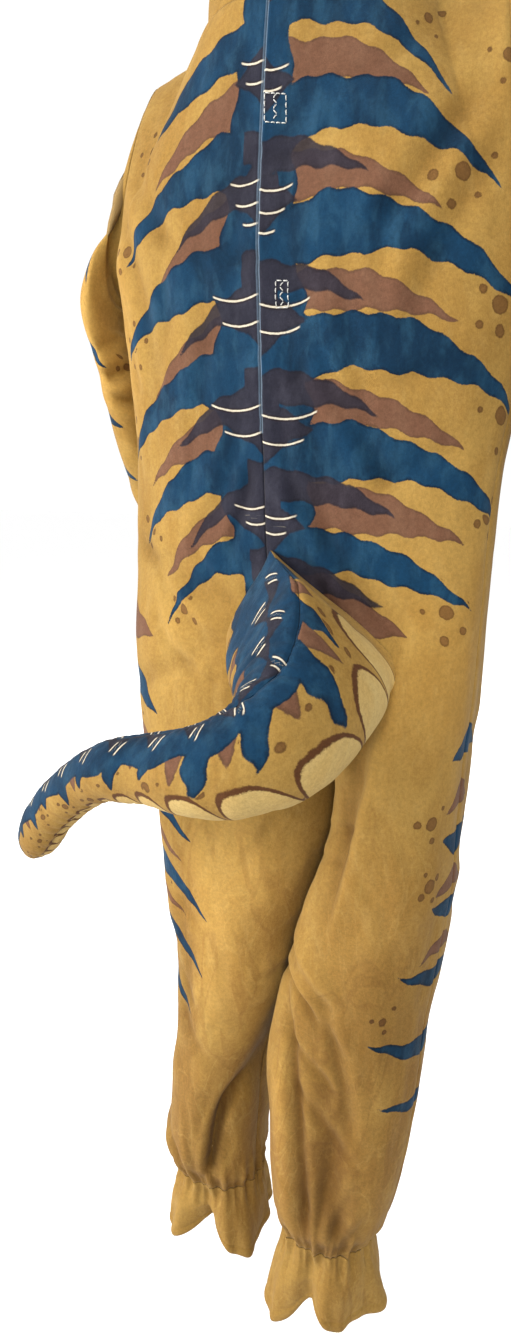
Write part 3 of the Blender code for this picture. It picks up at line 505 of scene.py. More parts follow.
def curve_distance(px, pz, row):
    """Signed distance to a crease's curve and how far along it, from 0 to 1."""
    x1, z1, x2, z2, x3, z3 = row
    cx, cz = 2 * x2 - (x1 + x3) / 2, 2 * z2 - (z1 + z3) / 2
    ts = np.linspace(0, 1, 13)
    xs = (1 - ts) ** 2 * x1 + 2 * ts * (1 - ts) * cx + ts**2 * x3
    zs = (1 - ts) ** 2 * z1 + 2 * ts * (1 - ts) * cz + ts**2 * z3
    best = np.full(px.shape, 1e9)
    signed = np.zeros(px.shape)
    along = np.zeros(px.shape)
    for i in range(len(ts) - 1):
        dx, dz = xs[i + 1] - xs[i], zs[i + 1] - zs[i]
        length2 = dx * dx + dz * dz
        raw = ((px - xs[i]) * dx + (pz - zs[i]) * dz) / length2
        low = -3.0 if i == 0 else 0.0
        high = 4.0 if i == len(ts) - 2 else 1.0
        t = np.clip(raw, low, high)
        ox, oz = px - xs[i] - t * dx, pz - zs[i] - t * dz
        d = np.hypot(ox, oz)
        near = d < best
        best = np.where(near, d, best)
        signed = np.where(near, np.where(dx * oz - dz * ox > 0, d, -d), signed)
        along = np.where(near, (ts[i] + t * (ts[i + 1] - ts[i])), along)
    return signed, along


def crease_height(points, face):
    total = np.zeros(points.shape[:-1])
    # a crease wanders a little from its curve
    wander = 0.0022 * noise(points, (38, 38, 38), 3)
    px, pz = points[..., 0] + wander, points[..., 2] + 0.0022 * noise(points, (38, 38, 38), 4)
    for row in CREASES:
        if row[0] != face:
            continue
        depth, width, ridge = row[7:]
        xs, zs = row[1:7:2], row[2:7:2]
        margin = 5 * width + 0.4 * math.hypot(xs[2] - xs[0], zs[2] - zs[0])
        rows = np.any((pz > min(zs) - margin) & (pz < max(zs) + margin) & (px > min(xs) - margin) & (px < max(xs) + margin), axis=1)
        if not rows.any():
            continue
        a, b = np.argmax(rows), len(rows) - np.argmax(rows[::-1])
        d, along = curve_distance(px[a:b], pz[a:b], row[1:7])
        ends = step01(along, -0.22, 0.20) * step01(-along, -1.22, -0.80)
        value = np.exp(-((d / width) ** 2))
        if ridge:
            value = value - abs(ridge) * np.exp(-(((d - math.copysign(1.7 * width, ridge)) / (1.15 * width)) ** 2))
        total[a:b] += depth * value * ends
    return total


def grid_normals(grid, sign):
    normal = np.cross(np.gradient(grid, axis=1), np.gradient(grid, axis=0)) * sign
    return unit(normal)


ANKLE = {}
for _side in ("left", "right"):
    _middle, _radius, _ = half_section(_side, np.array([ANKLE_HEIGHT]))
    ANKLE[_side] = (float(_middle[0]), float(body(_side + "_y", np.array([ANKLE_HEIGHT]))[0]))


def gathers(side, points):
    """Puckers that an elastic draws up round an ankle, from -1 to 1."""
    x, y = points[..., 0] - ANKLE[side][0], points[..., 1] - ANKLE[side][1]
    angle = np.arctan2(y, x) + 0.10 * noise(points, (18, 18, 30), 5)
    shift = 0.4 if side == "left" else 1.9
    a = 1 - 2 * np.abs(np.sin(8.5 * angle + shift)) ** 0.8
    b = 1 - 2 * np.abs(np.sin(13 * angle + 2 * shift)) ** 0.9
    return 0.62 * a + 0.38 * b


GATHER = 0.0029


def ankle_out(side, points):
    """Level directions out from the middle of an ankle."""
    out = points - np.array([ANKLE[side][0], ANKLE[side][1], 0])
    return unit(out * np.array([1, 1, 0]))


def panel(side, face, spacing):
    """High-resolution outer surface of a body panel, with what the print needs to know about each point."""
    s = 1 if side == "left" else -1
    t = 1 if face == "back" else -1
    up_rows = int(round(0.165 / spacing))
    low_rows = int(round((UNDERARM_HEIGHT - ANKLE_HEIGHT) / spacing))
    v = np.linspace(1, 0, up_rows + 1)[:-1]
    z = np.linspace(UNDERARM_HEIGHT, ANKLE_HEIGHT, low_rows + 1)
    columns = int(round(0.215 / spacing))
    columns += -columns % 3
    rows = up_rows + len(z)
    if (rows - 1) % 3:
        z = np.linspace(UNDERARM_HEIGHT, ANKLE_HEIGHT, len(z) + 3 - (rows - 1) % 3)
        rows = up_rows + len(z)
    fine = np.linspace(0, 1, 301)[None, :]
    sample = np.concatenate([upper_point(side, face, fine, v[:, None]), lower_point(side, face, fine, z[:, None] + 0 * fine)])
    arc = np.concatenate([np.zeros((rows, 1)), np.cumsum(np.linalg.norm(np.diff(sample, axis=1), axis=2), axis=1)], axis=1)
    w = np.array([np.interp(np.linspace(0, arc[i, -1], columns + 1), arc[i], fine[0]) for i in range(rows)])
    w[:, 0], w[:, -1] = 0, 1
    base = np.concatenate([upper_point(side, face, w[:up_rows], v[:, None]), lower_point(side, face, w[up_rows:], z[:, None] + 0 * w[up_rows:])])
    share = np.linspace(0, 1, columns + 1)[None, :]
    from_side = share * arc[:, -1:]
    from_centre = (1 - share) * arc[:, -1:]
    height = base[..., 2]
    normal = grid_normals(base, -s * t)
    edge = np.sin(np.pi * np.clip(w, 0, 1)) ** 0.35
    legs = np.clip(body("split", height) * 1.6 - 0.6, 0, 1)
    keep = edge * legs + np.minimum(1, w / 0.12) * (1 - legs)
    move = crease_height(base, face) * keep * step01(height, ANKLE_HEIGHT + 0.001, ANKLE_HEIGHT + 0.034)
    # soft drape, mostly up and down, and the small unevenness of the cloth
    drape = 0.0022 * noise(base, (20, 20, 6.5), 11) + 0.0012 * noise(base, (46, 46, 17), 12) + 0.0005 * noise(base, (110, 110, 50), 13)
    # fine pulled wrinkles, slanting down from the centre
    slant = np.stack([base[..., 0] * 0.8 + s * base[..., 2] * 0.55, base[..., 1] * 0.6, base[..., 2] * 0.9 - s * base[..., 0] * 0.5], -1)
    drape = drape - 0.0010 * np.clip(noise(slant, (85, 60, 16), 15) * 1.6 - 0.35, 0, 1) * np.clip(noise(base, (15, 15, 9), 16) + 0.45, 0, 1)
    legs_more = 1 + 0.35 * legs
    ends = step01(from_side, 0.0, 0.02) * step01(from_centre, 0.0, 0.02)
    move = move + drape * legs_more * ends
    # seams sit a little below the pile and pucker the cloth beside them
    ripple = 0.5 + 0.5 * noise(np.stack([height, height * 0, height * 0 + (1.7 if s > 0 else 4.1)], -1), (95, 1, 1), 14)
    for distance, depth, pucker in ((from_side, 0.0012, 0.0005), (from_centre, 0.0010, 0.0007)):
        move = move - depth * np.exp(-((distance / 0.0021) ** 2))
        move = move - pucker * ripple * np.exp(-distance / 0.009) * step01(distance, 0.0004, 0.003)
    lip = np.exp(-(((from_centre - 0.0018) / 0.0014) ** 2)) * step01(height, 0.700, 0.724)
    if face == "back":
        move = move + lip * (0.0010 if s < 0 else 0.0004)
    # the elastic's casing at the ankle
    low = height - ANKLE_HEIGHT
    pull = np.exp(-((low / 0.020) ** 2))
    tight = np.exp(-(((low - 0.002) / 0.0055) ** 2))
    move = move * step01(low, 0.0, 0.010)
    move = move + gathers(side, base) * GATHER * pull - 0.0016 * tight
    move = move - 0.0012 * np.abs(np.sin(gathers(side, base) * 2.2 - 60 * low)) * np.exp(-(((low - 0.008) / 0.007) ** 2)) * step01(low, 0, 0.003)
    near = np.exp(-((low / 0.010) ** 2))[..., None]
    normal = unit(normal * (1 - near) + ankle_out(side, base) * near)
    # the cloth's move in mm, which the material uses for painted shade in the troughs and a painted highlight on the
    # ridges
    fold = move * 1000
    grid = base + normal * move[..., None]
    open_rows = height[:, -1] > CROTCH_HEIGHT
    centre = body("mid", np.minimum(height[:, -1], UNDERARM_HEIGHT))
    grid[open_rows, -1, 0] = centre[open_rows] + s * HALF_SEAM
    seam_y = body(side + "_y", np.minimum(height[:, 0], UNDERARM_HEIGHT)) + t * HALF_SEAM
    grid[up_rows:, 0, 1] = seam_y[up_rows:]
    grid[~open_rows, -1, 1] = seam_y[~open_rows]
    top = w[0] <= NECK_SHARE + 1e-9
    grid[0, top, 1] = t * HALF_SEAM
    normal = grid_normals(grid, -s * t)
    normal[up_rows:, 0, 1] = 0
    normal[~open_rows, -1, 1] = 0
    normal[0, top, 1] = 0
    normal[open_rows, -1, 0] = np.minimum(normal[open_rows, -1, 0] * s, 0) * s
    normal[:up_rows, -1, 0] = 0
    normal = unit(normal)
    facts = {"across": s * from_centre, "from_side": from_side * t, "z": height, "w": w, "open": open_rows, "up_rows": up_rows, "fold": fold}
    return grid, normal, facts


# ---------------------------------------------------------------- meshes


def triangles_between(outer, inner):
    """Triangles of a strip between two rows of point numbers of different lengths, closed along their shares."""
    faces = []
    i = j = 0
    a, b = len(outer) - 1, len(inner) - 1
    while i < a or j < b:
        if j == b or (i < a and (i + 1) * b <= (j + 1) * a):
            faces.append((outer[i], outer[i + 1], inner[j]))
            i += 1
        else:
            faces.append((outer[i], inner[j + 1], inner[j]))
            j += 1
    return faces


def shell_mesh(name, grid, normal, thickness, ring=False, coarse=3):
    """A thin closed shell: a fine outer surface, a coarser inner one and a rim. Returns the object and the outer points' count."""
    rows, cols = grid.shape[:2]
    number = np.arange(rows * cols).reshape(rows, cols)
    pick_r = np.arange(0, rows, coarse)
    if pick_r[-1] != rows - 1:
        pick_r = np.append(pick_r, rows - 1)
    pick_c = np.arange(0, cols, coarse)
    if not ring and pick_c[-1] != cols - 1:
        pick_c = np.append(pick_c, cols - 1)
    # the coarse inner surface stays under the valleys of the fine outer one
    centre, out = grid[np.ix_(pick_r, pick_c)], normal[np.ix_(pick_r, pick_c)]
    deepest = np.zeros(centre.shape[:2])
    for dr in (-coarse, -coarse // 2, 0, coarse // 2, coarse):
        for dc in (-coarse, -coarse // 2, 0, coarse // 2, coarse):
            near_r = np.clip(pick_r + dr, 0, rows - 1)
            near_c = (pick_c + dc) % cols if ring else np.clip(pick_c + dc, 0, cols - 1)
            below = -np.einsum("ijk,ijk->ij", grid[np.ix_(near_r, near_c)] - centre, out)
            deepest = np.maximum(deepest, below)
    keep_edge = np.ones(deepest.shape)
    keep_edge[0] = keep_edge[-1] = 0
    if not ring:
        keep_edge[:, 0] = keep_edge[:, -1] = 0
    inner = centre - out * (thickness + np.minimum(deepest, 0.010) * keep_edge)[..., None]
    inner_number = rows * cols + np.arange(len(pick_r) * len(pick_c)).reshape(len(pick_r), len(pick_c))
    if ring:
        number = np.concatenate([number, number[:, :1]], axis=1)
        inner_number = np.concatenate([inner_number, inner_number[:, :1]], axis=1)

    def quads(n, flip):
        q = np.stack([n[:-1, :-1], n[1:, :-1], n[1:, 1:], n[:-1, 1:]], -1).reshape(-1, 4)
        return q[:, ::-1] if flip else q

    points = np.concatenate([grid.reshape(-1, 3), inner.reshape(-1, 3)])
    outer_quads, inner_quads = quads(number, False), quads(inner_number, True)
    # keep the outer surface facing along its normals
    a, b, d = points[outer_quads[:, 0]], points[outer_quads[:, 1]], points[outer_quads[:, 3]]
    facing = np.einsum("ij,ij->i", np.cross(b - a, d - a), normal.reshape(-1, 3)[outer_quads[:, 0]]).sum()
    if facing < 0:
        outer_quads, inner_quads = outer_quads[:, ::-1], inner_quads[:, ::-1]
    rim = triangles_between(number[0], inner_number[0]) + [f[::-1] for f in triangles_between(number[-1], inner_number[-1])]
    if not ring:
        rim += [f[::-1] for f in triangles_between(number[:, 0], inner_number[:, 0])]
        rim += triangles_between(number[:, -1], inner_number[:, -1])
    rim = np.array(rim)
    if facing < 0:
        rim = rim[:, ::-1]
    return mesh_object(name, points, [outer_quads, inner_quads, rim], flat=(2,)), rows * cols


def mesh_object(name, points, face_sets, flat=()):
    """A smooth-shaded object from points above the floor. flat numbers the sets of faces that keep a hard edge."""
    points = np.asarray(points, np.float32) - np.array([0, 0, ORIGIN_HEIGHT], np.float32)
    loops = np.concatenate([np.asarray(f).reshape(-1) for f in face_sets]).astype(np.int32)
    sizes = np.concatenate([np.full(len(f), np.asarray(f).shape[1]) for f in face_sets])
    starts = np.concatenate([[0], np.cumsum(sizes)[:-1]]).astype(np.int32)
    mesh = bpy.data.meshes.new(name)
    mesh.vertices.add(len(points))
    mesh.vertices.foreach_set("co", points.reshape(-1))
    mesh.loops.add(len(loops))
    mesh.loops.foreach_set("vertex_index", loops)
    mesh.polygons.add(len(starts))
    mesh.polygons.foreach_set("loop_start", starts)
    mesh.update(calc_edges=True)
    mesh.validate()
    mesh.shade_smooth()
    if flat and len(mesh.polygons) == len(sizes):
        sharp = np.concatenate([np.full(len(f), i in flat) for i, f in enumerate(face_sets)])
        mesh.polygons.foreach_set("use_smooth", ~sharp)
    obj = bpy.data.objects.new(name, mesh)
    bpy.context.scene.collection.objects.link(obj)
    return obj


# Broad patches of painted light and shade, partly the pile stroked light or dark.
# They lighten the sleeve, thighs and hips and paint shade into the right leg's
# fold valleys. Columns: middle, height above the floor, how far the patch reaches
# around and up, then how light (+) or dark.
PAINTED_LIGHT_AND_NAP_COLUMNS = ("x", "y", "z", "wide", "tall", "amount")
PAINTED_LIGHT_AND_NAP = (
    (0.024, 0.055, 0.405, 0.050, 0.070, 0.95),
    (0.034, 0.050, 0.300, 0.040, 0.055, 0.45),
    (-0.112, 0.044, 0.585, 0.055, 0.070, 0.80),
    (0.163, 0.016, 0.800, 0.055, 0.090, 1.00),
    (0.109, 0.038, 0.918, 0.045, 0.050, -0.55),
    (-0.088, 0.055, 0.318, 0.050, 0.065, -0.75),
    (0.064, 0.057, 0.575, 0.045, 0.060, 0.40),
    (-0.130, 0.028, 0.690, 0.040, 0.050, 0.30),
    (0.048, 0.032, 0.094, 0.060, 0.030, 0.25),
    (-0.094, 0.053, 0.214, 0.040, 0.045, -0.30),
    (-0.028, 0.053, 0.222, 0.012, 0.055, 0.55),
    (-0.047, 0.047, 0.185, 0.009, 0.045, -1.00),
    (-0.040, 0.048, 0.262, 0.009, 0.040, -0.90),
    (0.060, -0.060, 0.470, 0.055, 0.080, 0.50),
    (-0.070, -0.055, 0.330, 0.050, 0.070, -0.50),
    (-0.050, -0.060, 0.700, 0.060, 0.080, -0.35),
)


def give(obj, outer_count, **values):
    """Float attributes on the outer points. The inner surface gets 'inside' = 1."""
    count = len(obj.data.vertices)
    for name, value in values.items():
        full = np.full(count, -9.0, np.float32)
        full[:outer_count] = np.asarray(value, np.float32).reshape(-1)[:outer_count]
        attribute = obj.data.attributes.new(name, "FLOAT", "POINT")
        attribute.data.foreach_set("value", full)
    points = np.empty(count * 3, np.float32)
    obj.data.vertices.foreach_get("co", points)
    points = points.reshape(-1, 3).astype(float) + np.array([0, 0, ORIGIN_HEIGHT])
    # painted light and shade: the patches above, summed and stored for the material
    painted_light_and_nap = np.zeros(count)
    for x, y, z, wide, tall, amount in PAINTED_LIGHT_AND_NAP:
        away = ((points[:, 0] - x) ** 2 + (points[:, 1] - y) ** 2) / wide**2 + (points[:, 2] - z) ** 2 / tall**2
        painted_light_and_nap += amount * np.exp(-away)
    obj.data.attributes.new("painted_light_and_nap", "FLOAT", "POINT").data.foreach_set("value", np.clip(painted_light_and_nap, -1, 1).astype(np.float32))
    inside = np.ones(count, np.float32)
    inside[:outer_count] = 0
    obj.data.attributes.new("inside", "FLOAT", "POINT").data.foreach_set("value", inside)


# ---------------------------------------------------------------- the print


def crescents(across, z, table):
    """Distance in mm inside the nearest edge of a set of crescents, negative outside."""
    best = np.full(across.shape, -8.0)
    for side, z0, reach, half, rise, droop in table:
        s = 1 if side == "left" else -1
        u = across * s
        t = np.clip((u + 0.012) / (reach + 0.012), 0, 1.2)
        middle = z0 + rise * u * (1 - 0.75 * t) - droop * t**2.4
        wave = 0.0016 * np.sin(u * 150 + z0 * 310) * (1 - t) + 0.0010 * np.sin(u * 330 + z0 * 90)
        thick = half * np.clip(1 - t**2.1, 0, 1) ** 0.85 * np.clip(1 + 0.10 * np.sin(u * 72 + z0 * 50), 0.8, 1.2)
        inside = (thick - np.abs(z - middle - wave)) * 1000
        inside = np.where(t >= 1, np.minimum(inside, (reach - u) * 1000), inside)
        inside = np.where(u < -0.012, np.minimum(inside, (u + 0.012) * 1000), inside)
        best = np.maximum(best, inside)
    return best


def spine(across, z):
    heights, widths = np.array([r[0] for r in SPINE]), np.array([r[1] for r in SPINE])
    half = smooth(z, heights, widths) * (1 + 0.10 * np.sin(z * 190))
    return (half - np.abs(across)) * 1000


def scutes(across, z):
    best = np.full(across.shape, -8.0)
    for z0, wide, high in SCUTES:
        a = np.abs(across) / wide
        b = np.abs(z - z0 - 0.0015 * np.sin(across * 260)) / high
        best = np.maximum(best, (1 - (a**0.85 + b**0.95)) * min(wide, high) * 800)
    return best


def chevrons(across, z):
    """Signed distance in mm across the nearest chevron line, and a mask that is positive only near the lines."""
    signed = np.full(across.shape, 8.0)
    mask = np.full(across.shape, -8.0)
    for z0, reach, slope, _ in CHEVRONS:
        u = np.abs(across)
        offset = (z - z0 + slope * u - 1.6 * u * u / max(reach, 0.01) * 0.25) / math.hypot(1, slope) * 1000
        end = (reach - u) * 1000
        near = np.minimum(4.5 - np.abs(offset), end)
        take = near > mask
        signed = np.where(take, offset, signed)
        mask = np.where(take, near, mask)
    return signed, mask


def spots(across, z, table, seed):
    """Clusters of round spots that keep clear of each other, as a distance in mm inside the nearest edge."""
    rng = np.random.default_rng(seed)
    best = np.full(across.shape, -8.0)
    for cx, cz, spread, largest, count in table:
        turn = rng.random() * 2 * math.pi
        for k in range(int(count)):
            angle = turn + 2 * math.pi * (k + 0.35 * rng.random()) / max(count - 1, 1)
            far = 0.0 if k == 0 else 0.80 + 0.45 * rng.random()
            radius = largest * (1.0 if k == 0 else 0.38 + 0.30 * rng.random())
            x = cx + far * (spread * 0.75 + largest * 0.5) * math.cos(angle)
            y = cz + far * (spread * 0.75 + largest * 0.5) * math.sin(angle) * 1.15
            stretch = 0.86 + 0.24 * rng.random()
            d = np.hypot((across - x), (z - y) * stretch)
            best = np.maximum(best, (radius - d) * 1000)
    return best


def drops(side, from_side, z, table):
    best = np.full(z.shape, -8.0)
    for which, z0, back, front, half, fall in table:
        if which != side:
            continue
        reach = np.where(from_side >= 0, back, front)
        t = np.abs(from_side) / reach
        middle = z0 - fall * np.clip(t, 0, 1.2) ** 1.5
        thick = half * np.clip(1 - t**1.4, 0, 1) ** 0.9
        inside = (thick - np.abs(z - middle + 0.001 * np.sin(from_side * 240 + z0 * 70))) * 1000
        inside = np.where(t >= 1, np.minimum(inside, (1 - t) * reach * 1000), inside)
        best = np.maximum(best, inside)
    return best


def panel_print(side, face, facts):
    across, z, from_side = facts["across"], facts["z"], facts["from_side"]
    layers = {}
    far = np.full(z.shape, -8.0)
    blue, brown, plum = far.copy(), far.copy(), far.copy()
    line, mask = np.full(z.shape, 8.0), far.copy()
    spot = far.copy()
    if face == "back":
        # the print's two halves don't quite match across the opening
        shifted = z - (0.006 if side == "left" else 0.0)
        blue = np.maximum(crescents(across, shifted, BLUE_CRESCENTS), spine(across, shifted))
        brown = crescents(across, shifted, BROWN_CRESCENTS)
        plum = np.maximum(crescents(across, shifted, PLUM_CRESCENTS), scutes(across, shifted))
        line, mask = chevrons(across, shifted)
        spot = spots(across, z, BACK_SPOTS, 21)
        low = step01(z, 0.545, 0.575)
        for layer in (blue, brown, plum):
            layer -= (1 - low) * 30
    else:
        spot = spots(across, z, FRONT_SPOTS, 22)
    blue = np.maximum(blue, drops(side, from_side, z, BLUE_DROPS))
    brown = np.maximum(brown, drops(side, from_side, z, BROWN_DROPS))
    spot = np.maximum(spot, spots(from_side, z, SIDE_SPOTS[side], 23 if side == "left" else 24))
    # spots stay on the plain ground
    spot = np.minimum(spot, -np.maximum(blue, brown) - 1.5)
    clip = lambda a: np.clip(a, -8, 8)
    return {"blue": clip(blue), "brown": clip(brown), "plum": clip(plum), "spot": clip(spot), "line": clip(line), "line_mask": clip(mask)}


# ---------------------------------------------------------------- other forms


def through(points, t, at):
    """A smooth path through points at the places t, read at the places at."""
    tangent = np.gradient(points, t, axis=0)
    i = np.clip(np.searchsorted(t, at, side="right") - 1, 0, len(t) - 2)
    step = (t[i + 1] - t[i]).reshape(-1, *[1] * (points.ndim - 1))
    k = ((at - t[i]) / (t[i + 1] - t[i])).reshape(step.shape)
    return (
        (2 * k**3 - 3 * k**2 + 1) * points[i]
        + (k**3 - 2 * k**2 + k) * step * tangent[i]
        + (3 * k**2 - 2 * k**3) * points[i + 1]
        + (k**3 - k**2) * step * tangent[i + 1]
    )


def ring_normals(rings, away_from):
    around = (np.roll(rings, -1, axis=1) - np.roll(rings, 1, axis=1)) / 2
    normal = unit(np.cross(around, np.gradient(rings, axis=0)))
    if np.einsum("ijk,ijk->ij", normal, rings - away_from).mean() < 0:
        normal = -normal
    return normal


def sleeve(side, spacing):
    s = 1 if side == "left" else -1
    count = 6 * int(round(0.27 / spacing / 6))
    turn = np.arange(count) / count
    number = np.where(turn <= 0.5, turn * 16, 16 - turn * 16)
    v = np.interp(number, np.arange(9), UPPER_ROWS)
    ring0 = np.zeros((count, 3))
    for face, part in (("back", turn <= 0.5), ("front", turn > 0.5)):
        edge = upper_point(side, face, np.zeros(part.sum()), v[part])
        near = upper_point(side, face, np.full(part.sum(), 0.03), v[part])
        away = unit(unit(edge - near) + np.array([0.9 * s, 0, 0]))
        ring0[part] = edge + away * 0.0004
    angle = turn * 2 * math.pi
    c, q = np.cos(angle), np.sin(angle)
    c, q = np.sign(c) * np.abs(c) ** 0.9, np.sign(q) * np.abs(q) ** 0.9
    rings = [ring0]
    for k, (in_x, in_z, out_x, out_z, y, half_depth, lean) in enumerate(SLEEVE):
        in_x, out_x = in_x + SLEEVE_OUT[side], out_x + SLEEVE_OUT[side] - SLEEVE_TOP_IN[side] * max(0, 1 - k / 3)
        inner, outer = np.array([s * in_x, y, in_z]), np.array([s * out_x, y, out_z])
        lean = math.radians(lean)
        back = np.array([0, math.cos(lean), -math.sin(lean)])
        ring = (inner + outer) / 2 + np.outer(c, (inner - outer) / 2) + np.outer(q, back) * half_depth
        if k == 0:
            ring = 0.6 * ring + 0.4 * (ring0 + np.array([s * 0.012, 0, 0]))
        rings.append(ring)
    rings = np.array(rings)
    t = np.concatenate([[0], np.cumsum(np.linalg.norm(np.diff(rings, axis=0), axis=2).mean(axis=1))])
    rows = 3 * int(round(t[-1] / spacing / 3)) + 1
    at = np.linspace(0, t[-1], rows)
    rings = through(rings, t, at)
    middle = rings.mean(axis=1, keepdims=True)
    normal = ring_normals(rings, middle)
    along = at[:, None] + 0 * turn[None, :]
    round_it = np.linalg.norm(np.roll(rings, -1, axis=1) - rings, axis=2).sum(axis=1, keepdims=True)
    wander = 0.0030 * noise(rings, (34, 34, 34), 31)
    move = np.zeros(along.shape)
    for a0, turn0, reach, slant, depth, width in SLEEVE_CREASES:
        dt = (turn[None, :] - turn0 + 0.5) % 1 - 0.5
        d = along - a0 - slant * dt + wander
        ends = np.clip(1 - (dt / reach) ** 2, 0, 1) ** 1.2
        move += depth * ends * (np.exp(-((d / width) ** 2)) - 0.65 * np.exp(-(((d - 1.7 * width) / (1.2 * width)) ** 2)))
    left_along = t[-1] - along
    move += step01(along, 0, 0.02) * (0.0015 * noise(rings, (26, 26, 12), 32) + 0.0007 * noise(rings, (60, 60, 34), 33))
    # armhole, underarm seam and cuff
    ripple = 0.5 + 0.5 * noise(np.stack([angle * 12, angle * 0, angle * 0 + s], -1), (1, 1, 1), 34)[None, :]
    move += -0.0012 * np.exp(-((along / 0.0021) ** 2)) - 0.0012 * ripple * np.exp(-along / 0.012) * step01(along, 0, 0.004)
    seam = np.abs((turn[None, :] + 0.5) % 1 - 0.5) * round_it
    move += -0.0010 * np.exp(-((seam / 0.002) ** 2)) * step01(along, 0, 0.006)
    move += 0.0005 * step01(-left_along, -0.0175, -0.0155) - 0.0009 * np.exp(-(((left_along - 0.0165) / 0.0011) ** 2))
    move -= 0.0010 * np.exp(-((left_along / 0.0016) ** 2))
    grid = rings + normal * move[..., None]
    normal = ring_normals(grid, middle)
    return grid, normal, {"along": along, "turn": turn[None, :] + 0 * along, "round": round_it + 0 * along, "z": grid[..., 2]}


def ankle_ring(side, count):
    """Points round an ankle from the side seam by way of the back, and their turns."""
    fine = np.linspace(0, 1, 601)
    points = np.where(
        fine[:, None] <= 0.5,
        lower_point(side, "back", np.clip(fine * 2, 0, 1), np.full(601, ANKLE_HEIGHT)),
        lower_point(side, "front", np.clip(2 - fine * 2, 0, 1), np.full(601, ANKLE_HEIGHT)),
    )
    arc = np.concatenate([[0], np.cumsum(np.linalg.norm(np.diff(points, axis=0), axis=1))])
    turn = np.interp(np.arange(count) / count * arc[-1], arc, fine)
    ring = np.where(
        turn[:, None] <= 0.5,
        lower_point(side, "back", np.clip(turn * 2, 0, 1), np.full(count, ANKLE_HEIGHT)),
        lower_point(side, "front", np.clip(2 - turn * 2, 0, 1), np.full(count, ANKLE_HEIGHT)),
    )
    return ring, turn, arc[-1]


def foot_cover(side, spacing):
    count = 3 * int(round(0.29 / spacing / 3))
    rim, turn, length = ankle_ring(side, count)
    middle = rim.mean(axis=0)
    out = unit((rim - middle) * np.array([1, 1, 0]))
    around = turn * 2 * math.pi
    lobes, phase = COVER_LOBES[side]
    gap = np.abs((turn - COVER_NOTCH_TURN[side] + 0.5) % 1 - 0.5)
    notch = np.exp(-((gap / 0.05) ** 2))
    turn0, wide, share = COVER_LONGER[side]
    longer = share * np.exp(-((((turn - turn0 + 0.5) % 1 - 0.5) / wide) ** 2))
    turn1, wide1, draw_in = COVER_DRAWN[side]
    drawn = draw_in * np.exp(-((((turn - turn1 + 0.5) % 1 - 0.5) / wide1) ** 2))
    table = np.array(COVER)
    rows = 3 * int(round(0.055 / spacing / 3)) + 1
    drops_ = np.linspace(0.0006, 0.055, rows)
    rings = []
    for drop in drops_:
        at = np.array([drop])
        spread, shift, wave = (float(smooth(at, table[:, 0], table[:, i])[0]) for i in (1, 2, 3))
        flare = float(step01(np.array([drop]), 0.008, 0.05)[0])
        folds = 0.0019 * np.cos(9 * around + 1.3 * phase) + 0.0011 * np.cos(14 * around + 2.1 * phase)
        sharp = np.exp(-((gap / 0.022) ** 2))
        valley = COVER_VALLEY * drop / 0.055 * notch + 0.0045 * float(step01(at, 0.0, 0.012)[0]) * sharp
        ring = rim + out * (spread + wave * np.cos(lobes * around + phase) + flare * folds * (1 - notch) - valley - drawn * drop / 0.055)[:, None]
        ring[:, 0] += COVER_SHIFT[side] * drop
        ring[:, 1] += shift
        lift = (0.35 * drop - 0.003) * notch * float(step01(np.array([drop]), 0.016, 0.034)[0])
        ring[:, 2] = rim[:, 2] - drop * COVER_STRETCH[side] * (1 + longer) + lift + flare * 0.0012 * np.cos(3 * around + phase)
        rings.append(ring)
    rings = np.array(rings)
    middle = rings.mean(axis=1, keepdims=True)
    normal = ring_normals(rings, middle)
    drop = drops_[:, None] + 0 * turn[None, :]
    draw = gathers(side, rim)[None, :] + 0 * drop
    move = draw * GATHER * np.exp(-((drop / 0.016) ** 2)) - 0.0016 * np.exp(-(((drop + 0.002) / 0.0055) ** 2))
    move -= 0.0011 * np.abs(np.sin(draw * 2.2 + 60 * drop)) * np.exp(-(((drop - 0.006) / 0.006) ** 2)) * step01(drop, 0, 0.003)
    near = np.exp(-((drop / 0.008) ** 2))[..., None]
    normal = unit(normal * (1 - near) + ankle_out(side, rim)[None] * near)
    move += step01(drop, 0, 0.02) * (0.0012 * noise(rings, (40, 40, 20), 41) + 0.0005 * noise(rings, (90, 90, 50), 42))
    hem = 0.055 - drop
    move += 0.0006 * step01(-hem, -0.0080, -0.0066) - 0.0007 * np.exp(-(((hem - 0.0074) / 0.0010) ** 2)) - 0.0010 * np.exp(-((hem / 0.0014) ** 2))
    grid = rings + normal * move[..., None]
    return grid, ring_normals(grid, middle), {"drop": drop, "turn": turn[None, :] + 0 * drop, "z": grid[..., 2]}


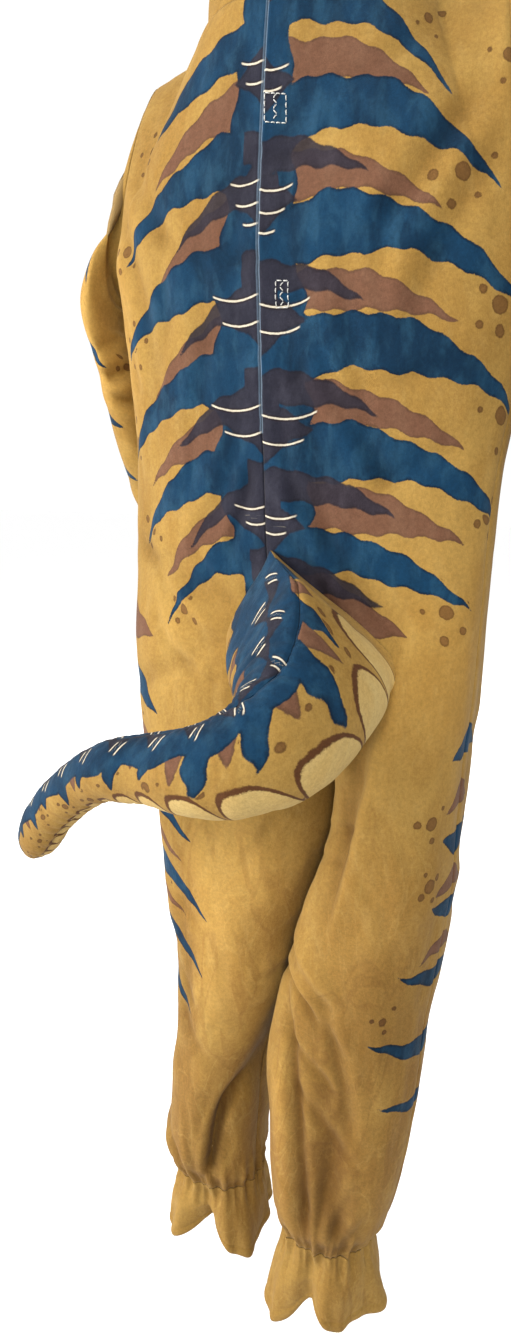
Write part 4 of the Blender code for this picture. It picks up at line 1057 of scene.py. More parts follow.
def neck_band(spacing):
    down, up = np.linspace(1, NECK_SHARE, 120), np.linspace(NECK_SHARE, 1, 120)
    parts = [top_point("left", "back", down)[:-1], top_point("left", "front", up)[:-1], top_point("right", "front", down)[:-1], top_point("right", "back", up)]
    line = np.concatenate(parts)
    arc = np.concatenate([[0], np.cumsum(np.linalg.norm(np.diff(line, axis=0), axis=1))])
    cols = 3 * int(round(arc[-1] / spacing / 3)) + 1
    at = np.linspace(0, arc[-1], cols)
    base = np.stack([np.interp(at, arc, line[:, i]) for i in range(3)], -1)
    rows = 3 * int(round(0.062 / spacing / 3)) + 1
    share = np.linspace(0, 1, rows)
    draw = smooth(share, np.array([0, 0.3, 0.65, 1.0]), np.array([1.0, 0.985, 0.93, 0.86]))
    grid = np.repeat(base[None], rows, axis=0)
    grid[..., :2] *= draw[:, None, None]
    grid[..., 2] = base[None, :, 2] + 0.0004 + (NECK_BAND_TOP - base[None, :, 2] - 0.0004) * share[:, None]
    normal = grid_normals(grid, 1)
    if (normal * grid * np.array([1, 1, 0])).sum() < 0:
        normal = -normal
    up_it = grid[..., 2] - base[None, :, 2]
    end = np.minimum(at, arc[-1] - at)[None, :] + 0 * up_it
    move = 0.0010 * noise(grid, (30, 30, 14), 51) * step01(up_it, 0, 0.01) - 0.0012 * np.exp(-((up_it / 0.0021) ** 2))
    move -= 0.0012 * (0.5 + 0.5 * noise(grid, (70, 70, 1), 52)) * np.exp(-up_it / 0.010) * step01(up_it, 0, 0.003)
    top = (1 - share)[:, None] * 0.055
    move += 0.0005 * step01(-top, -0.0120, -0.0105) - 0.0008 * np.exp(-(((top - 0.0112) / 0.0011) ** 2)) - 0.0008 * np.exp(-((top / 0.0016) ** 2))
    grid = grid + normal * move[..., None]
    grid[:, 0, 0] = HALF_SEAM
    grid[:, -1, 0] = -HALF_SEAM
    normal = grid_normals(grid, 1)
    if (normal * grid * np.array([1, 1, 0])).sum() < 0:
        normal = -normal
    normal[:, 0, 0] = np.minimum(normal[:, 0, 0], 0)
    normal[:, -1, 0] = np.maximum(normal[:, -1, 0], 0)
    across = np.where(at < arc[-1] / 2, at, at - arc[-1])[None, :] + 0 * up_it
    return grid, unit(normal), {"across": across, "z": grid[..., 2], "end": end}


def tail_half(side, spacing, stuffed=None):
    s = 1 if side == "left" else -1
    path = np.array([row[:3] for row in TAIL], float)
    sizes = np.array([row[3:] for row in TAIL], float)
    along = unit(np.gradient(path, axis=0))
    start = unit(np.array([-0.12, 1.0, -0.38]))
    for i, share in enumerate(TAIL_TURN_SHARES):
        along[i] = unit(start * (1 - share) + along[i] * share)
    t = np.concatenate([[0], np.cumsum(np.linalg.norm(np.diff(path, axis=0), axis=1))])
    rows = int(round(t[-1] / spacing)) + 1
    at = np.linspace(0, t[-1], rows)
    # the tip rounds over past the last section
    path, sizes, along = through(path, t, at), through(sizes, t, at), unit(through(along, t, at))
    tip = np.linspace(0, 1, 9)[1:]
    path = np.concatenate([path, path[-1] + along[-1] * 0.0075 * np.sin(tip * math.pi / 2)[:, None]])
    tip_size = sizes[-1] * np.cos(tip * math.pi / 2 * 0.985)[:, None]
    tip_size[:, 2] = 0
    sizes = np.concatenate([sizes, tip_size])
    along = np.concatenate([along, np.repeat(along[-1:], len(tip), axis=0)])
    length = np.concatenate([at, at[-1] + 0.0075 * np.sin(tip * math.pi / 2)])
    up = unit(np.array([0, 0, 1.0]) - along * along[:, 2:3])
    across = np.cross(along, up)
    cols = 3 * int(round(math.pi * 0.040 / spacing / 3))
    turn = np.linspace(0, math.pi, cols + 1)
    wide, high, egg = (sizes[:, i][:, None] for i in range(3))
    c, q = np.cos(turn)[None, :], np.sin(turn)[None, :]
    skin = path[:, None] + (c * high)[..., None] * up[:, None] + s * (q * (1 - egg * c) * wide)[..., None] * across[:, None]
    # the root lies against the back
    dorsal = np.zeros((cols + 1, 3))
    dorsal[:, 0] = TAIL_ROOT_LEAN * (np.cos(turn) + 0.15)
    root = skin[0] + dorsal
    root[:, 1] = back_y(root[:, 0], root[:, 2]) + TAIL_CLEAR
    fade = np.clip(1 - length / t[1], 0, 1)
    fade = fade * fade * (3 - 2 * fade) * 0.4 + fade * 0.6
    skin = skin + fade[:, None, None] * (root - skin[0])[None]
    normal = unit(np.cross(np.gradient(skin, axis=0), np.gradient(skin, axis=1)))
    if (normal * (skin - path[:, None])).sum() < 0:
        normal = -normal
    radius = np.sqrt(wide * high)
    from_top = turn[None, :] * radius
    from_bottom = (math.pi - turn[None, :]) * radius
    s_at = length[:, None] + 0 * from_top
    ends = step01(s_at, 0.0, 0.006) * step01(-s_at, -length[-1], -length[-1] + 0.012)
    move = np.zeros(s_at.shape)
    ripple = 0.5 + 0.5 * noise(np.stack([s_at, s_at * 0 + 3.3 * s, s_at * 0], -1), (120, 1, 1), 61)
    for distance, depth in ((from_top, 0.0016), (from_bottom, 0.0018)):
        move -= depth * np.exp(-((distance / 0.0024) ** 2))
        move -= 0.0013 * ripple * np.exp(-distance / 0.008) * step01(distance, 0, 0.003)
    # wrinkles across the inside of the bend, and small ones by the top seam
    bend = np.exp(-(((s_at - 0.105) / 0.050) ** 2))
    inside = np.exp(-(((turn[None, :] - (1.35 if s > 0 else 0.0)) / (0.95 if s > 0 else 0.75)) ** 2))
    wobble = 0.004 * noise(skin, (40, 40, 40), 62)
    wave = np.abs(np.sin((s_at + wobble) * math.pi / 0.0115 + 0.6 * np.sin(turn[None, :] * 2)))
    move += (0.0022 if s > 0 else 0.0014) * bend * inside * (wave**0.7 - 0.75)
    small = np.abs(np.sin((s_at + 0.7 * wobble) * math.pi / 0.0078 + 1.1))
    move += 0.0011 * (small**0.6 - 0.8) * np.exp(-(((from_top - 0.007) / 0.008) ** 2)) * step01(s_at, 0.02, 0.05) * (0.6 + 0.4 * noise(skin, (25, 25, 25), 63))
    fine = np.abs(np.sin((s_at + 0.7 * wobble) * math.pi / 0.0098 + 0.4))
    move += 0.0008 * (fine**0.6 - 0.8) * np.exp(-(((from_bottom - 0.006) / 0.007) ** 2)) * step01(s_at, 0.02, 0.05)
    move += 0.0016 * noise(skin, (32, 32, 32), 64) + 0.0007 * noise(skin, (70, 70, 70), 65)
    move -= 0.0012 * np.exp(-((s_at / 0.0024) ** 2))
    move -= 0.0012 * (0.5 + 0.5 * noise(skin, (110, 110, 110), 66)) * np.exp(-s_at / 0.010) * step01(s_at, 0, 0.003)
    move = move * (0.25 + 0.75 * ends)
    if stuffed is not None:
        move = move + stuffed(s, s_at, turn[None, :] + 0 * s_at)
    shift = normal * move[..., None]
    for edge in (0, -1):
        shift[:, edge] -= (shift[:, edge] * across).sum(axis=1, keepdims=True) * across
        shift[:, edge] += s * across * 0.00015
    grid = skin + shift
    return grid, {"length": s_at, "turn": turn[None, :] + 0 * s_at, "radius": radius + 0 * s_at, "path": path}


def tail_mesh(name, grid):
    rows, cols = grid.shape[:2]
    n = np.arange(rows * cols).reshape(rows, cols)
    q = np.stack([n[:-1, :-1], n[1:, :-1], n[1:, 1:], n[:-1, 1:]], -1).reshape(-1, 4)
    points = grid.reshape(-1, 3)
    flat = np.stack([n[:-1, -1], n[1:, -1], n[1:, 0], n[:-1, 0]], -1)
    root = np.array([(n[0, i], n[0, i + 1], n[0, -1]) for i in range(cols - 2)])
    tip = np.array([(n[-1, i + 1], n[-1, i], n[-1, -1]) for i in range(cols - 2)])
    middle = grid.mean(axis=(1))[:, None]
    a, b, d = points[q[:, 0]], points[q[:, 1]], points[q[:, 3]]
    out = (grid - middle).reshape(-1, 3)[q[:, 0]]
    sets = [q, flat, root, tip]
    if np.einsum("ij,ij->i", np.cross(b - a, d - a), out).sum() < 0:
        sets = [f[:, ::-1] for f in sets]
    return mesh_object(name, points, sets, flat=(1, 2, 3)), rows * cols


def tail_print(side, facts):
    length, radius = facts["length"], facts["radius"]
    total = 0.405
    # the print's top line starts on the tail's left, comes over its top and leans to its back along it
    twist = 0.80 - 1.00 * step01(length, 0.03, 0.15) - 0.28 * step01(length, 0.15, 0.28)
    angle = np.where(side == "right", 1.0, -1.0) * facts["turn"] + twist
    angle = (angle + math.pi) % (2 * math.pi) - math.pi
    turn, half = np.abs(angle), angle > 0
    arc = turn * radius
    blue = (0.68 + 0.42 * step01(length, 0.08, 0.22) + 0.10 * np.sin(length * 150) - turn) * radius * 1000
    brown = np.full(turn.shape, -8.0)
    plum, plate, mask = brown.copy(), brown.copy(), brown.copy()
    line = np.full(turn.shape, 8.0)
    for flip in (False, True):
        mine = half if flip else ~half
        for k in range(14):
            at = 0.010 + 0.0352 * k - 0.00062 * k * k + (0.0 if flip else 0.016 - 0.0008 * k)
            size = 1 - 0.52 * at / total
            reach = (1.90, 1.45, 1.80, 1.50)[k % 4] * (1 - 0.006 * k)
            share = turn / reach
            thick = 0.0145 * size * np.clip(1 - share**1.5, 0, 1) ** 0.85
            wave = 0.0012 * np.sin(arc * 320 + k)
            blade = (thick - np.abs(length - at - 0.017 * size * share**1.6 - wave)) * 1000
            blade = np.where(share >= 1, np.minimum(blade, (reach - turn) * radius * 1000), blade)
            blue = np.where(mine, np.maximum(blue, blade), blue)
            at2 = at + 0.0165 * size
            reach2 = (1.22, 1.46, 1.12)[k % 3]
            share2 = turn / reach2
            thick2 = 0.0115 * size * np.clip(1 - share2**1.4, 0, 1) ** 0.85
            blade2 = (thick2 - np.abs(length - at2 - 0.010 * size * share2)) * 1000
            blade2 = np.where(share2 >= 1, np.minimum(blade2, (reach2 - turn) * radius * 1000), blade2)
            brown = np.where(mine, np.maximum(brown, blade2), brown)
            a, b = arc / (0.014 * size + 0.002), np.abs(length - at2 + 0.004) / (0.0115 * size)
            plum = np.where(mine, np.maximum(plum, (1 - (a**0.9 + b**0.95)) * 7), plum)
            for step_at, far in ((0.0005, 0.0160), (0.0062, 0.0120)):
                offset = (length - at - step_at - 0.10 * arc - 14.0 * arc * arc) * 1000
                near = np.minimum(3.0 - np.abs(offset), np.minimum((arc - 0.0030) * 1000, (far * size + 0.0030 - arc) * 1000))
                take = mine & (near > mask)
                line, mask = np.where(take, offset, line), np.where(take, near, mask)
    # the plates of the belly grow smaller along it
    at, pitch = 0.030, 0.034
    while at < 0.37:
        tall = 1.50 - 0.90 * step01(np.array(at), 0.12, 0.34)
        a, b = (length - at - 0.006 * (math.pi - turn)) / (0.50 * pitch), (math.pi - turn) / tall
        plate = np.maximum(plate, (1 - (np.abs(a) ** 3.2 + np.abs(b) ** 2.6) ** 0.38) * 0.5 * pitch * 1000)
        at += pitch
        pitch *= 0.925
    mean = 0.028
    rows = [(0.022 + 0.033 * k - 0.0003 * k * k, (1.20, 1.62, 1.42)[k % 3] * mean, 0.011 * (1 - 0.035 * k), 0.0044 * (1 - 0.045 * k), 5) for k in range(12)]
    spot = spots(length, turn * (0.5 * radius + 0.5 * mean), rows, 71)
    spot = np.minimum(spot, np.minimum(-np.maximum(blue, brown) - 1.0, -plate - 1.6))
    blue, brown = np.minimum(blue, -plate - 1.0), np.minimum(brown, -plate - 1.0)
    clip = lambda v: np.clip(v, -8, 8)
    return {"blue": clip(blue), "brown": clip(brown), "plum": clip(plum), "spot": clip(spot), "line": clip(line), "line_mask": clip(mask), "plate": clip(plate)}


def sleeve_print(side, facts):
    along, turn, round_it = facts["along"], facts["turn"], facts["round"]
    out = ((turn - 0.5 + 0.5) % 1 - 0.5) * round_it  # round the arm from its outer line
    far = np.full(along.shape, -8.0)
    blue, brown = far.copy(), far.copy()
    for k, (at, half, reach) in enumerate(((0.070, 0.011, 0.058), (0.118, 0.011, 0.062), (0.166, 0.010, 0.056), (0.212, 0.009, 0.052), (0.256, 0.007, 0.044))):
        share = np.abs(out) / reach
        body_ = (half * np.clip(1 - share**1.5, 0, 1) ** 0.9 - np.abs(along - at - 0.014 * share**1.5)) * 1000
        blue = np.maximum(blue, np.where(share >= 1, np.minimum(body_, (1 - share) * reach * 1000), body_))
        share = np.abs(out) / (reach * 0.62)
        body_ = (half * 0.75 * np.clip(1 - share**1.4, 0, 1) ** 0.9 - np.abs(along - at - 0.024)) * 1000
        brown = np.maximum(brown, np.where(share >= 1, np.minimum(body_, (1 - share) * reach * 620), body_))
    table = [(0.085, 0.10, 0.012, 0.0036, 5), (-0.085, 0.13, 0.012, 0.0036, 5), (0.080, 0.235, 0.011, 0.0032, 5), (-0.078, 0.255, 0.011, 0.0030, 4)]
    spot = spots(out, along, table, 81 if side == "left" else 82)
    spot = np.minimum(spot, -np.maximum(blue, brown) - 1.5)
    clip = lambda v: np.clip(v, -8, 8)
    return {"blue": clip(blue), "brown": clip(brown), "plum": far, "spot": clip(spot), "line": far + 16, "line_mask": far}


# ---------------------------------------------------------------- materials


class Nodes:
    """Short calls for a material's nodes."""

    def __init__(self, name):
        self.material = bpy.data.materials.new(name)
        self.material.use_nodes = True
        self.tree = self.material.node_tree
        self.tree.nodes.clear()
        self.out = self.tree.nodes.new("ShaderNodeOutputMaterial")

    def put(self, socket, value):
        if isinstance(value, bpy.types.NodeSocket):
            self.tree.links.new(value, socket)
        elif isinstance(value, tuple) and len(value) == 3 and len(socket.default_value) == 4:
            socket.default_value = (*value, 1.0)
        else:
            socket.default_value = value

    def math(self, operation, a, b=0.0, c=0.0):
        node = self.tree.nodes.new("ShaderNodeMath")
        node.operation = operation
        for socket, value in zip(node.inputs, (a, b, c)):
            self.put(socket, value)
        return node.outputs[0]

    def ramp(self, value, low, high, to_low=0.0, to_high=1.0):
        node = self.tree.nodes.new("ShaderNodeMapRange")
        node.interpolation_type = "SMOOTHSTEP"
        for socket, v in zip(node.inputs[:5], (value, low, high, to_low, to_high)):
            self.put(socket, v)
        return node.outputs[0]

    def attribute(self, name):
        node = self.tree.nodes.new("ShaderNodeAttribute")
        node.attribute_name = name
        return node.outputs["Fac"]

    def mix(self, factor, a, b):
        node = self.tree.nodes.new("ShaderNodeMix")
        node.data_type = "RGBA"
        self.put(node.inputs[0], factor)
        self.put(node.inputs[6], a)
        self.put(node.inputs[7], b)
        return node.outputs[2]

    def times(self, a, b):
        node = self.tree.nodes.new("ShaderNodeMix")
        node.data_type = "RGBA"
        node.blend_type = "MULTIPLY"
        node.inputs[0].default_value = 1.0
        self.put(node.inputs[6], a)
        self.put(node.inputs[7], b)
        return node.outputs[2]

    def place(self, scale=(1, 1, 1)):
        coordinates = self.tree.nodes.new("ShaderNodeTexCoord")
        node = self.tree.nodes.new("ShaderNodeMapping")
        self.tree.links.new(coordinates.outputs["Object"], node.inputs[0])
        node.inputs["Scale"].default_value = scale
        return node.outputs[0]

    def noise(self, place, scale, detail=2.0, roughness=0.5, distortion=0.0):
        node = self.tree.nodes.new("ShaderNodeTexNoise")
        self.tree.links.new(place, node.inputs["Vector"])
        node.inputs["Scale"].default_value = scale
        node.inputs["Detail"].default_value = detail
        node.inputs["Roughness"].default_value = roughness
        node.inputs["Distortion"].default_value = distortion
        return node.outputs["Fac"]

    def grey(self, value):
        node = self.tree.nodes.new("ShaderNodeCombineColor")
        for socket in node.inputs:
            self.put(socket, value)
        return node.outputs[0]

    def bump(self, height, strength, distance, normal=None):
        node = self.tree.nodes.new("ShaderNodeBump")
        node.inputs["Strength"].default_value = strength
        node.inputs["Distance"].default_value = distance
        self.put(node.inputs["Height"], height)
        if normal is not None:
            self.put(node.inputs["Normal"], normal)
        return node.outputs[0]


def linear(r, g, b):
    """A colour given in 0 to 255 as it shows on a screen in a weaker light."""
    return tuple(0.68 * ((c / 255 / 12.92) if c / 255 <= 0.04045 else ((c / 255 + 0.055) / 1.055) ** 2.4) for c in (r, g, b))


OCHRE = linear(156, 123, 63)
OCHRE_DEEP = linear(144, 110, 53)
OCHRE_PALE = linear(169, 138, 78)
DULL = linear(114, 79, 38)
BLUE = linear(16, 50, 75)
BLUE_DEEP = linear(10, 30, 47)
BLUE_PALE = linear(36, 74, 97)
BROWN = linear(99, 67, 52)
BROWN_DEEP = linear(84, 57, 43)
PLUM = linear(38, 36, 45)
PLUM_DEEP = linear(30, 28, 35)
SPOT = linear(104, 72, 38)
SPOT_DEEP = linear(86, 57, 29)
CREAM = linear(196, 186, 166)
PLATE = linear(180, 150, 90)
BACKING = linear(138, 112, 70)
RIM_BROWN = linear(84, 52, 28)


def velour(name, printed=True, plates=False, dull=0.0, thread=False):
    """Short-pile velour: a blotchy nap, a print that breaks up a little on the pile, and a soft sheen."""
    n = Nodes(name)
    place = n.place()
    drawn = n.place((1.0, 1.0, 0.45))
    nap = n.noise(drawn, 26.0, 4.0, 0.62, 0.6)
    brushed = n.noise(drawn, 95.0, 3.0, 0.6, 0.3)
    pile = n.noise(place, 1150.0, 2.0, 0.6)
    grain = n.noise(place, 420.0, 3.0, 0.65)
    wobble = n.math("ADD", n.math("MULTIPLY", n.math("SUBTRACT", n.noise(place, 260.0, 2.0, 0.6), 0.5), 1.6), n.math("MULTIPLY", n.math("SUBTRACT", pile, 0.5), 1.1))

    ground = n.mix(n.ramp(nap, 0.34, 0.68), OCHRE_DEEP, OCHRE)
    ground = n.mix(n.math("MULTIPLY", n.ramp(brushed, 0.50, 0.76), 0.30), ground, OCHRE_PALE)
    # the ground goes darker and duller towards the bottom of the legs, in blotches
    low = n.tree.nodes.new("ShaderNodeSeparateXYZ")
    n.tree.links.new(place, low.inputs[0])
    low_darkening = n.math("MULTIPLY", n.ramp(low.outputs["Z"], -0.42, -0.84), n.ramp(n.noise(drawn, 17.0, 4.0, 0.65, 0.8), 0.34, 0.70, 0.14, 0.90))
    ground = n.mix(n.math("MULTIPLY", low_darkening, 0.80 + dull), ground, DULL)
    # crushed marks in the pile, thin and curling, mostly low down
    curl = n.math("ABSOLUTE", n.math("SUBTRACT", n.noise(drawn, 21.0, 3.0, 0.55, 1.8), 0.5))
    marks = n.math("MULTIPLY", n.ramp(curl, 0.020, 0.004), n.ramp(low.outputs["Z"], -0.30, -0.70, 0.06, 0.22))
    ground = n.mix(marks, ground, OCHRE_PALE)
    curl = n.math("ABSOLUTE", n.math("SUBTRACT", n.noise(drawn, 15.0, 3.0, 0.55, 1.4), 0.47))
    marks = n.math("MULTIPLY", n.ramp(curl, 0.026, 0.004), n.ramp(low.outputs["Z"], -0.30, -0.70, 0.06, 0.26))
    ground = n.mix(marks, ground, DULL)

    def edge(layer, soft=0.42):
        return n.ramp(n.math("ADD", n.attribute(layer), wobble), -soft, soft)

    def rimmed(layer, deep, plain, width):
        return n.mix(n.ramp(n.math("ADD", n.attribute(layer), wobble), 0.2, width), deep, plain)

    colour = ground
    if printed:
        lighter = n.ramp(brushed, 0.42, 0.72)
        if plates:
            plate = n.math("ADD", n.attribute("plate"), n.math("MULTIPLY", wobble, 0.5))
            colour = n.mix(n.ramp(plate, -0.5, 0.1), colour, n.mix(n.ramp(nap, 0.35, 0.7), PLATE, linear(186, 160, 102)))
        spot = rimmed("spot", SPOT_DEEP, SPOT, 1.6)
        colour = n.mix(n.math("MULTIPLY", edge("spot"), 0.9), colour, spot)
        brown = n.mix(n.math("MULTIPLY", lighter, 0.35), rimmed("brown", BROWN_DEEP, BROWN, 2.2), linear(116, 84, 66))
        colour = n.mix(n.math("MULTIPLY", edge("brown"), 0.95), colour, brown)
        blue = n.mix(n.math("MULTIPLY", n.ramp(nap, 0.56, 0.36), 0.60), rimmed("blue", BLUE_DEEP, BLUE, 2.4), BLUE_DEEP)
        blue = n.mix(n.math("MULTIPLY", lighter, 0.50), blue, BLUE_PALE)
        colour = n.mix(edge("blue"), colour, blue)
        plum = n.mix(n.math("MULTIPLY", lighter, 0.30), rimmed("plum", PLUM_DEEP, PLUM, 2.6), linear(62, 58, 68))
        colour = n.mix(n.math("MULTIPLY", edge("plum", 0.7), 0.94), colour, plum)
        if plates:
            outline = n.math("ABSOLUTE", plate)
            drawn_line = n.ramp(outline, 0.85, 0.40)
            colour = n.mix(n.math("MULTIPLY", drawn_line, n.ramp(n.attribute("blue"), 0.4, -0.4)), colour, RIM_BROWN)
        across = n.math("ABSOLUTE", n.math("ADD", n.attribute("line"), n.math("MULTIPLY", wobble, 0.35)))
        inside = n.ramp(n.attribute("line_mask"), 0.0, 2.0)
        dark = n.math("MULTIPLY", n.ramp(across, 2.1, 1.2), inside)
        colour = n.mix(n.math("MULTIPLY", dark, 0.55), colour, linear(34, 24, 24))
        light = n.math("MULTIPLY", n.ramp(across, 0.78, 0.36), inside)
        colour = n.mix(light, colour, CREAM)
    # painted light and shade over broad patches, partly the pile stroked one way or the other; the shaded side takes a
    # warm tint
    painted_light_and_nap = n.attribute("painted_light_and_nap")
    colour = n.times(colour, n.mix(n.ramp(painted_light_and_nap, -1.0, 0.0), (0.70, 0.640, 0.585), (1.0, 1.0, 1.0)))
    colour = n.times(colour, n.grey(n.ramp(painted_light_and_nap, 0.0, 1.0, 1.0, 1.40)))
    # painted shade, warm-tinted, in creases, seams and other troughs, and a painted highlight on the ridges, by how far
    # the cloth is moved in or out
    fold = n.attribute("fold")
    colour = n.times(colour, n.mix(n.ramp(fold, -9.0, 0.2), (0.50, 0.440, 0.380), (1.0, 1.0, 1.0)))
    colour = n.times(colour, n.grey(n.ramp(fold, 0.2, 3.0, 1.0, 1.10)))
    # a thin pale line painted along the back opening above 0.72 m: a painted glint on its raised edge, partly a paler
    # edge of the pile
    seam = n.ramp(n.attribute("edge_line"), 0.0, 0.5)
    colour = n.mix(n.math("MULTIPLY", seam, 0.45), colour, linear(118, 138, 156))
    speckle = n.grey(n.ramp(grain, 0.25, 0.75, 0.86, 1.08))
    colour = n.times(colour, speckle)
    colour = n.times(colour, n.grey(n.ramp(pile, 0.2, 0.8, 0.90, 1.07)))
    colour = n.mix(n.ramp(n.attribute("inside"), 0.3, 0.7), colour, BACKING)

    shader = n.tree.nodes.new("ShaderNodeBsdfPrincipled")
    n.put(shader.inputs["Base Color"], colour)
    n.put(shader.inputs["Roughness"], n.ramp(brushed, 0.3, 0.75, 0.92, 0.78))
    shader.inputs["Specular IOR Level"].default_value = 0.06
    shader.inputs["Sheen Weight"].default_value = 0.03
    shader.inputs["Sheen Roughness"].default_value = 0.5
    shader.inputs["Sheen Tint"].default_value = (1.0, 0.93, 0.80, 1.0)
    rough = n.bump(n.noise(place, 210.0, 3.0, 0.6), 0.30, 0.0007)
    furred = n.bump(pile, 0.55, 0.00035, rough)
    n.put(shader.inputs["Normal"], furred)
    n.tree.links.new(shader.outputs[0], n.out.inputs[0])
    return n.material


def thread_material(name, colour):
    n = Nodes(name)
    place = n.place()
    twist = n.tree.nodes.new("ShaderNodeTexWave")
    n.tree.links.new(place, twist.inputs["Vector"])
    twist.wave_type, twist.bands_direction = "BANDS", "DIAGONAL"
    twist.inputs["Scale"].default_value = 900.0
    twist.inputs["Distortion"].default_value = 1.0
    shade = n.ramp(twist.outputs["Fac"], 0.0, 1.0, 0.72, 1.0)
    shader = n.tree.nodes.new("ShaderNodeBsdfPrincipled")
    n.put(shader.inputs["Base Color"], n.times(colour, n.grey(shade)))
    shader.inputs["Roughness"].default_value = 0.62
    shader.inputs["Sheen Weight"].default_value = 0.25
    n.put(shader.inputs["Normal"], n.bump(twist.outputs["Fac"], 0.5, 0.0001))
    n.tree.links.new(shader.outputs[0], n.out.inputs[0])
    return n.material


# ---------------------------------------------------------------- thread


def thread_mesh(name, lines, radius, sides=6):
    """Tubes along short lines of points above the floor, closed at their ends."""
    points, quads, tris = [], [], []
    for line in lines:
        line = np.asarray(line, float)
        along = unit(np.gradient(line, axis=0))
        side = unit(np.cross(along, np.array([0.31, 0.52, 0.80])))
        up = np.cross(along, side)
        base = len(points)
        for i, p in enumerate(line):
            size = radius * (0.45 if i in (0, len(line) - 1) else 1.0)
            for k in range(sides):
                a = 2 * math.pi * k / sides
                points.append(p + size * (math.cos(a) * side[i] + math.sin(a) * up[i]))
        for i in range(len(line) - 1):
            for k in range(sides):
                a, b = base + i * sides + k, base + i * sides + (k + 1) % sides
                quads.append((a, b, b + sides, a + sides))
        end = base + (len(line) - 1) * sides
        for k in range(1, sides - 1):
            tris.append((base, base + k + 1, base + k))
            tris.append((end, end + k, end + k + 1))
    return mesh_object(name, points, [np.array(quads), np.array(tris)])


def stitch(p, q, out, arch):
    """One stitch from p to q, sunk at its ends and arched along out."""
    ts = np.array([0.0, 0.12, 0.35, 0.65, 0.88, 1.0])
    lift = np.array([-0.00045, 0.0001, 1.0 * arch, 1.0 * arch, 0.0001, -0.00045])
    return [p + (q - p) * t + out * h for t, h in zip(ts, lift)]


class Surface:
    """Finds places on a panel by X and height."""

    def __init__(self, grid, normal):
        self.points, self.normals = grid.reshape(-1, 3), normal.reshape(-1, 3)

    def at(self, x, z):
        i = int(np.argmin((self.points[:, 0] - x) ** 2 + (self.points[:, 2] - z) ** 2))
        p, n = self.points[i], self.normals[i]
        y = p[1] - (n[0] * (x - p[0]) + n[2] * (z - p[2])) / (n[1] if abs(n[1]) > 0.2 else 0.2)
        return np.array([x, y, z]), n


def sewn_line(surface, corners, stitch_length, gap, arch=0.00035):
    lines = []
    for (x1, z1), (x2, z2) in zip(corners[:-1], corners[1:]):
        length = math.hypot(x2 - x1, z2 - z1)
        n = max(1, int(round(length / (stitch_length + gap))))
        for k in range(n):
            a, b = (k + 0.12) / n, (k + 0.12 + stitch_length / (stitch_length + gap)) / n
            p, out = surface.at(x1 + (x2 - x1) * a, z1 + (z2 - z1) * a)
            q, _ = surface.at(x1 + (x2 - x1) * min(b, 1), z1 + (z2 - z1) * min(b, 1))
            lines.append(stitch(p, q, out, arch))
    return lines


# ---------------------------------------------------------------- the garment

FINE = 0.0017
SOFT = 0.0025

velour_print = velour("velour_print")
velour_tail = velour("velour_tail", plates=True)
velour_cover = velour("velour_foot_cover", printed=False, dull=-0.40)
velour_plain = velour("velour_plain", printed=False)
white_thread = thread_material("white_thread", linear(205, 203, 196))

pieces, surfaces = {}, {}
for side in ("left", "right"):
    for face in ("back", "front"):
        name = f"{face}_{side}"
        grid, normal, facts = panel(side, face, FINE if face == "back" else SOFT)
        obj, count = shell_mesh(name, grid, normal, CLOTH * 0.9)
        layers = panel_print(side, face, facts)
        layers["fold"] = facts["fold"]
        if face == "back":
            # where the material paints a pale line along the opening: a painted glint, partly a paler edge
            layers["edge_line"] = np.where(facts["z"] > 0.72, 1.0, 0.0) * np.clip(1.5 - np.abs(facts["across"]) * 1000, -8, 8) + np.where(facts["z"] > 0.72, 0.0, -8.0)
        give(obj, count, **layers)
        surfaces[name] = Surface(grid, normal)
        obj.data.materials.append(velour_print)
        pieces[name] = obj
    grid, normal, facts = sleeve(side, SOFT)
    obj, count = shell_mesh(f"sleeve_{side}", grid, normal, CLOTH * 0.9, ring=True)
    give(obj, count, **sleeve_print(side, facts))
    obj.data.materials.append(velour_print)
    pieces[f"sleeve_{side}"] = obj
    grid, normal, facts = foot_cover(side, 0.0012)
    obj, count = shell_mesh(f"foot_cover_{side}", grid, normal, CLOTH * 0.9, ring=True)
    give(obj, count)
    obj.data.materials.append(velour_cover)
    pieces[f"foot_cover_{side}"] = obj
    grid, facts = tail_half(side, 0.0012)
    obj, count = tail_mesh(f"tail_{side}", grid)
    give(obj, count, **tail_print(side, facts))
    obj.data.materials.append(velour_tail)
    pieces[f"tail_{side}"] = obj
grid, normal, facts = neck_band(0.0016)
obj, count = shell_mesh("neck_band", grid, normal, CLOTH * 0.9)
give(obj, count)
obj.data.materials.append(velour_plain)
pieces["neck_band"] = obj

# the thread bars across the two ends of the opening
TOP_BAR = ((-0.0018, 0.9205), (-0.0154, 0.9183), (-0.0164, 0.9019), (-0.0027, 0.9040), (-0.0018, 0.9205))
LOW_BAR = ((-0.0122, 0.8128), (-0.0205, 0.8121), (-0.0203, 0.7966), (-0.0119, 0.7972), (-0.0122, 0.8128))
for name, corners in (("thread_box_top", TOP_BAR), ("thread_box_low", LOW_BAR)):
    (x1, z1), (x2, z2), (x3, z3), (x4, z4) = corners[:4]
    middle = [(x1 + (x2 - x1) * 0.5 + (x4 - x1) * t + (0.0016 if k % 2 else -0.0010), z1 + (z4 - z1) * t) for k, t in enumerate((0.06, 0.24, 0.42, 0.60, 0.78, 0.94))]
    lines = sewn_line(surfaces["back_right"], corners, 0.0030, 0.0008, 0.00042) + sewn_line(surfaces["back_right"], middle, 0.0026, 0.0008, 0.00042)
    obj = thread_mesh(name, lines, 0.00036)
    obj.data.materials.append(white_thread)
    pieces[name] = obj

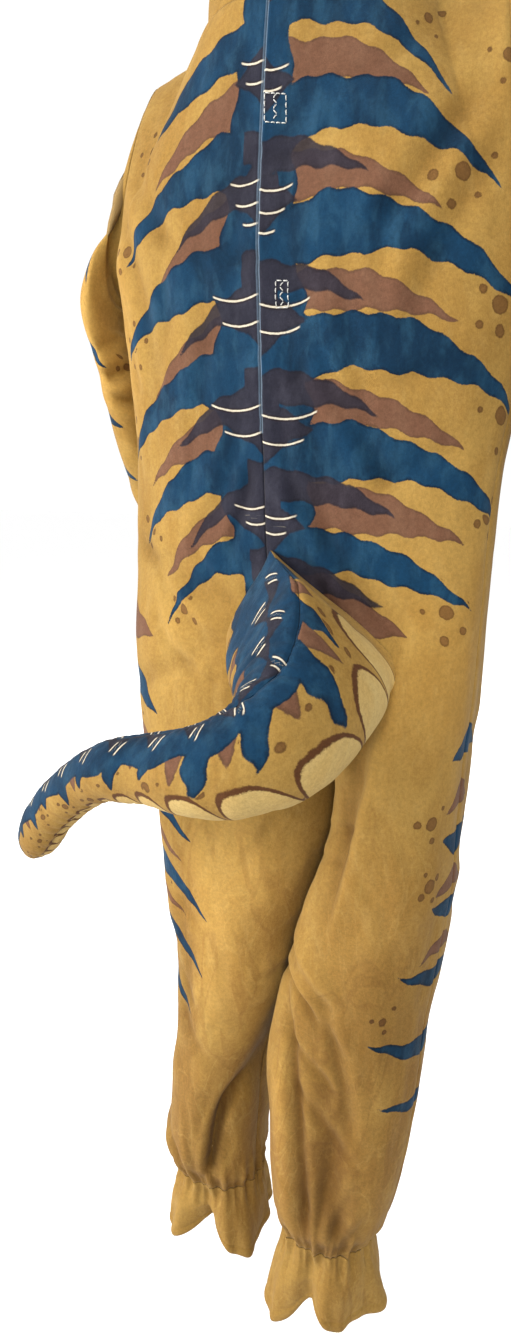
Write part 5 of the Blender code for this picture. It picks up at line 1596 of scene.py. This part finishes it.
for obj in pieces.values():
    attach(obj, "root")
for name in ("back_left", "back_right", "front_left", "front_right", "sleeve_left", "sleeve_right", "neck_band", "foot_cover_left", "foot_cover_right", "tail_left", "tail_right"):
    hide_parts(name)

# ---------------------------------------------------------------- floor, light and camera

floor_mesh = bpy.data.meshes.new("floor")
floor_mesh.from_pydata([(-90, -90, 0), (90, -90, 0), (90, 90, 0), (-90, 90, 0)], [], [(0, 1, 2, 3)])
floor = bpy.data.objects.new("floor", floor_mesh)
floor.location.z = -ORIGIN_HEIGHT
bpy.context.scene.collection.objects.link(floor)
n = Nodes("floor")
shader = n.tree.nodes.new("ShaderNodeBsdfPrincipled")
shader.inputs["Base Color"].default_value = (0.97, 0.97, 0.97, 1.0)
shader.inputs["Roughness"].default_value = 0.9
shader.inputs["Specular IOR Level"].default_value = 0.1
n.tree.links.new(shader.outputs[0], n.out.inputs[0])
floor_mesh.materials.append(n.material)

world = bpy.data.worlds.new("world")
world.use_nodes = True
world.node_tree.nodes["Background"].inputs["Color"].default_value = (1.0, 1.0, 1.0, 1.0)
world.node_tree.nodes["Background"].inputs["Strength"].default_value = 1.03
bpy.context.scene.world = world


def area_light(name, where, target, size, power, colour=(1, 1, 1)):
    data = bpy.data.lights.new(name, "AREA")
    data.shape, data.size, data.energy, data.color = "DISK", size, power, colour
    obj = bpy.data.objects.new(name, data)
    where, target = np.array(where, float), np.array(target, float)
    back = unit(where - target)
    side = unit(np.cross([0, 0, 1.0], back))
    up = np.cross(back, side)
    m = np.eye(4)
    m[:3, 0], m[:3, 1], m[:3, 2], m[:3, 3] = side, up, back, where
    obj.matrix_world = Matrix(m.tolist())
    bpy.context.scene.collection.objects.link(obj)
    return obj


area_light("key", (2.35, 2.00, 0.15), (0, 0, -0.42), 2.6, 205, (1.0, 0.99, 0.97))
fill = area_light("fill", (-0.9, 2.1, 1.1), (-0.06, 0, -0.30), 1.4, 4.5)
fill.data.spread = math.radians(40)
area_light("front", (0.6, -2.9, 0.6), (0, 0, -0.45), 2.2, 45)

# the camera of the view from behind the right shoulder
AROUND, PITCH, ROLL = math.radians(26.7), math.radians(10.2), math.radians(1.7)
forward = np.array([math.sin(AROUND) * math.cos(PITCH), -math.cos(AROUND) * math.cos(PITCH), -math.sin(PITCH)])
right = np.array([-math.cos(AROUND), -math.sin(AROUND), 0.0])
up = np.cross(right, forward)
right2 = right * math.cos(ROLL) + up * math.sin(ROLL)
up2 = -right * math.sin(ROLL) + up * math.cos(ROLL)
camera_data = bpy.data.cameras.new("camera")
camera_data.sensor_width = 36.0
camera_data.lens = 22.956
camera_data.shift_x = -0.02963
camera = bpy.data.objects.new("camera", camera_data)
m = np.eye(4)
m[:3, 0], m[:3, 1], m[:3, 2] = right2, up2, -forward
m[:3, 3] = (-0.63 * math.sin(AROUND), 0.63 * math.cos(AROUND), 0.67 - ORIGIN_HEIGHT)
camera.matrix_world = Matrix(m.tolist())
bpy.context.scene.collection.objects.link(camera)
bpy.context.scene.camera = camera

bpy.context.scene.view_settings.view_transform = "Standard"
bpy.context.scene.view_settings.look = "None"
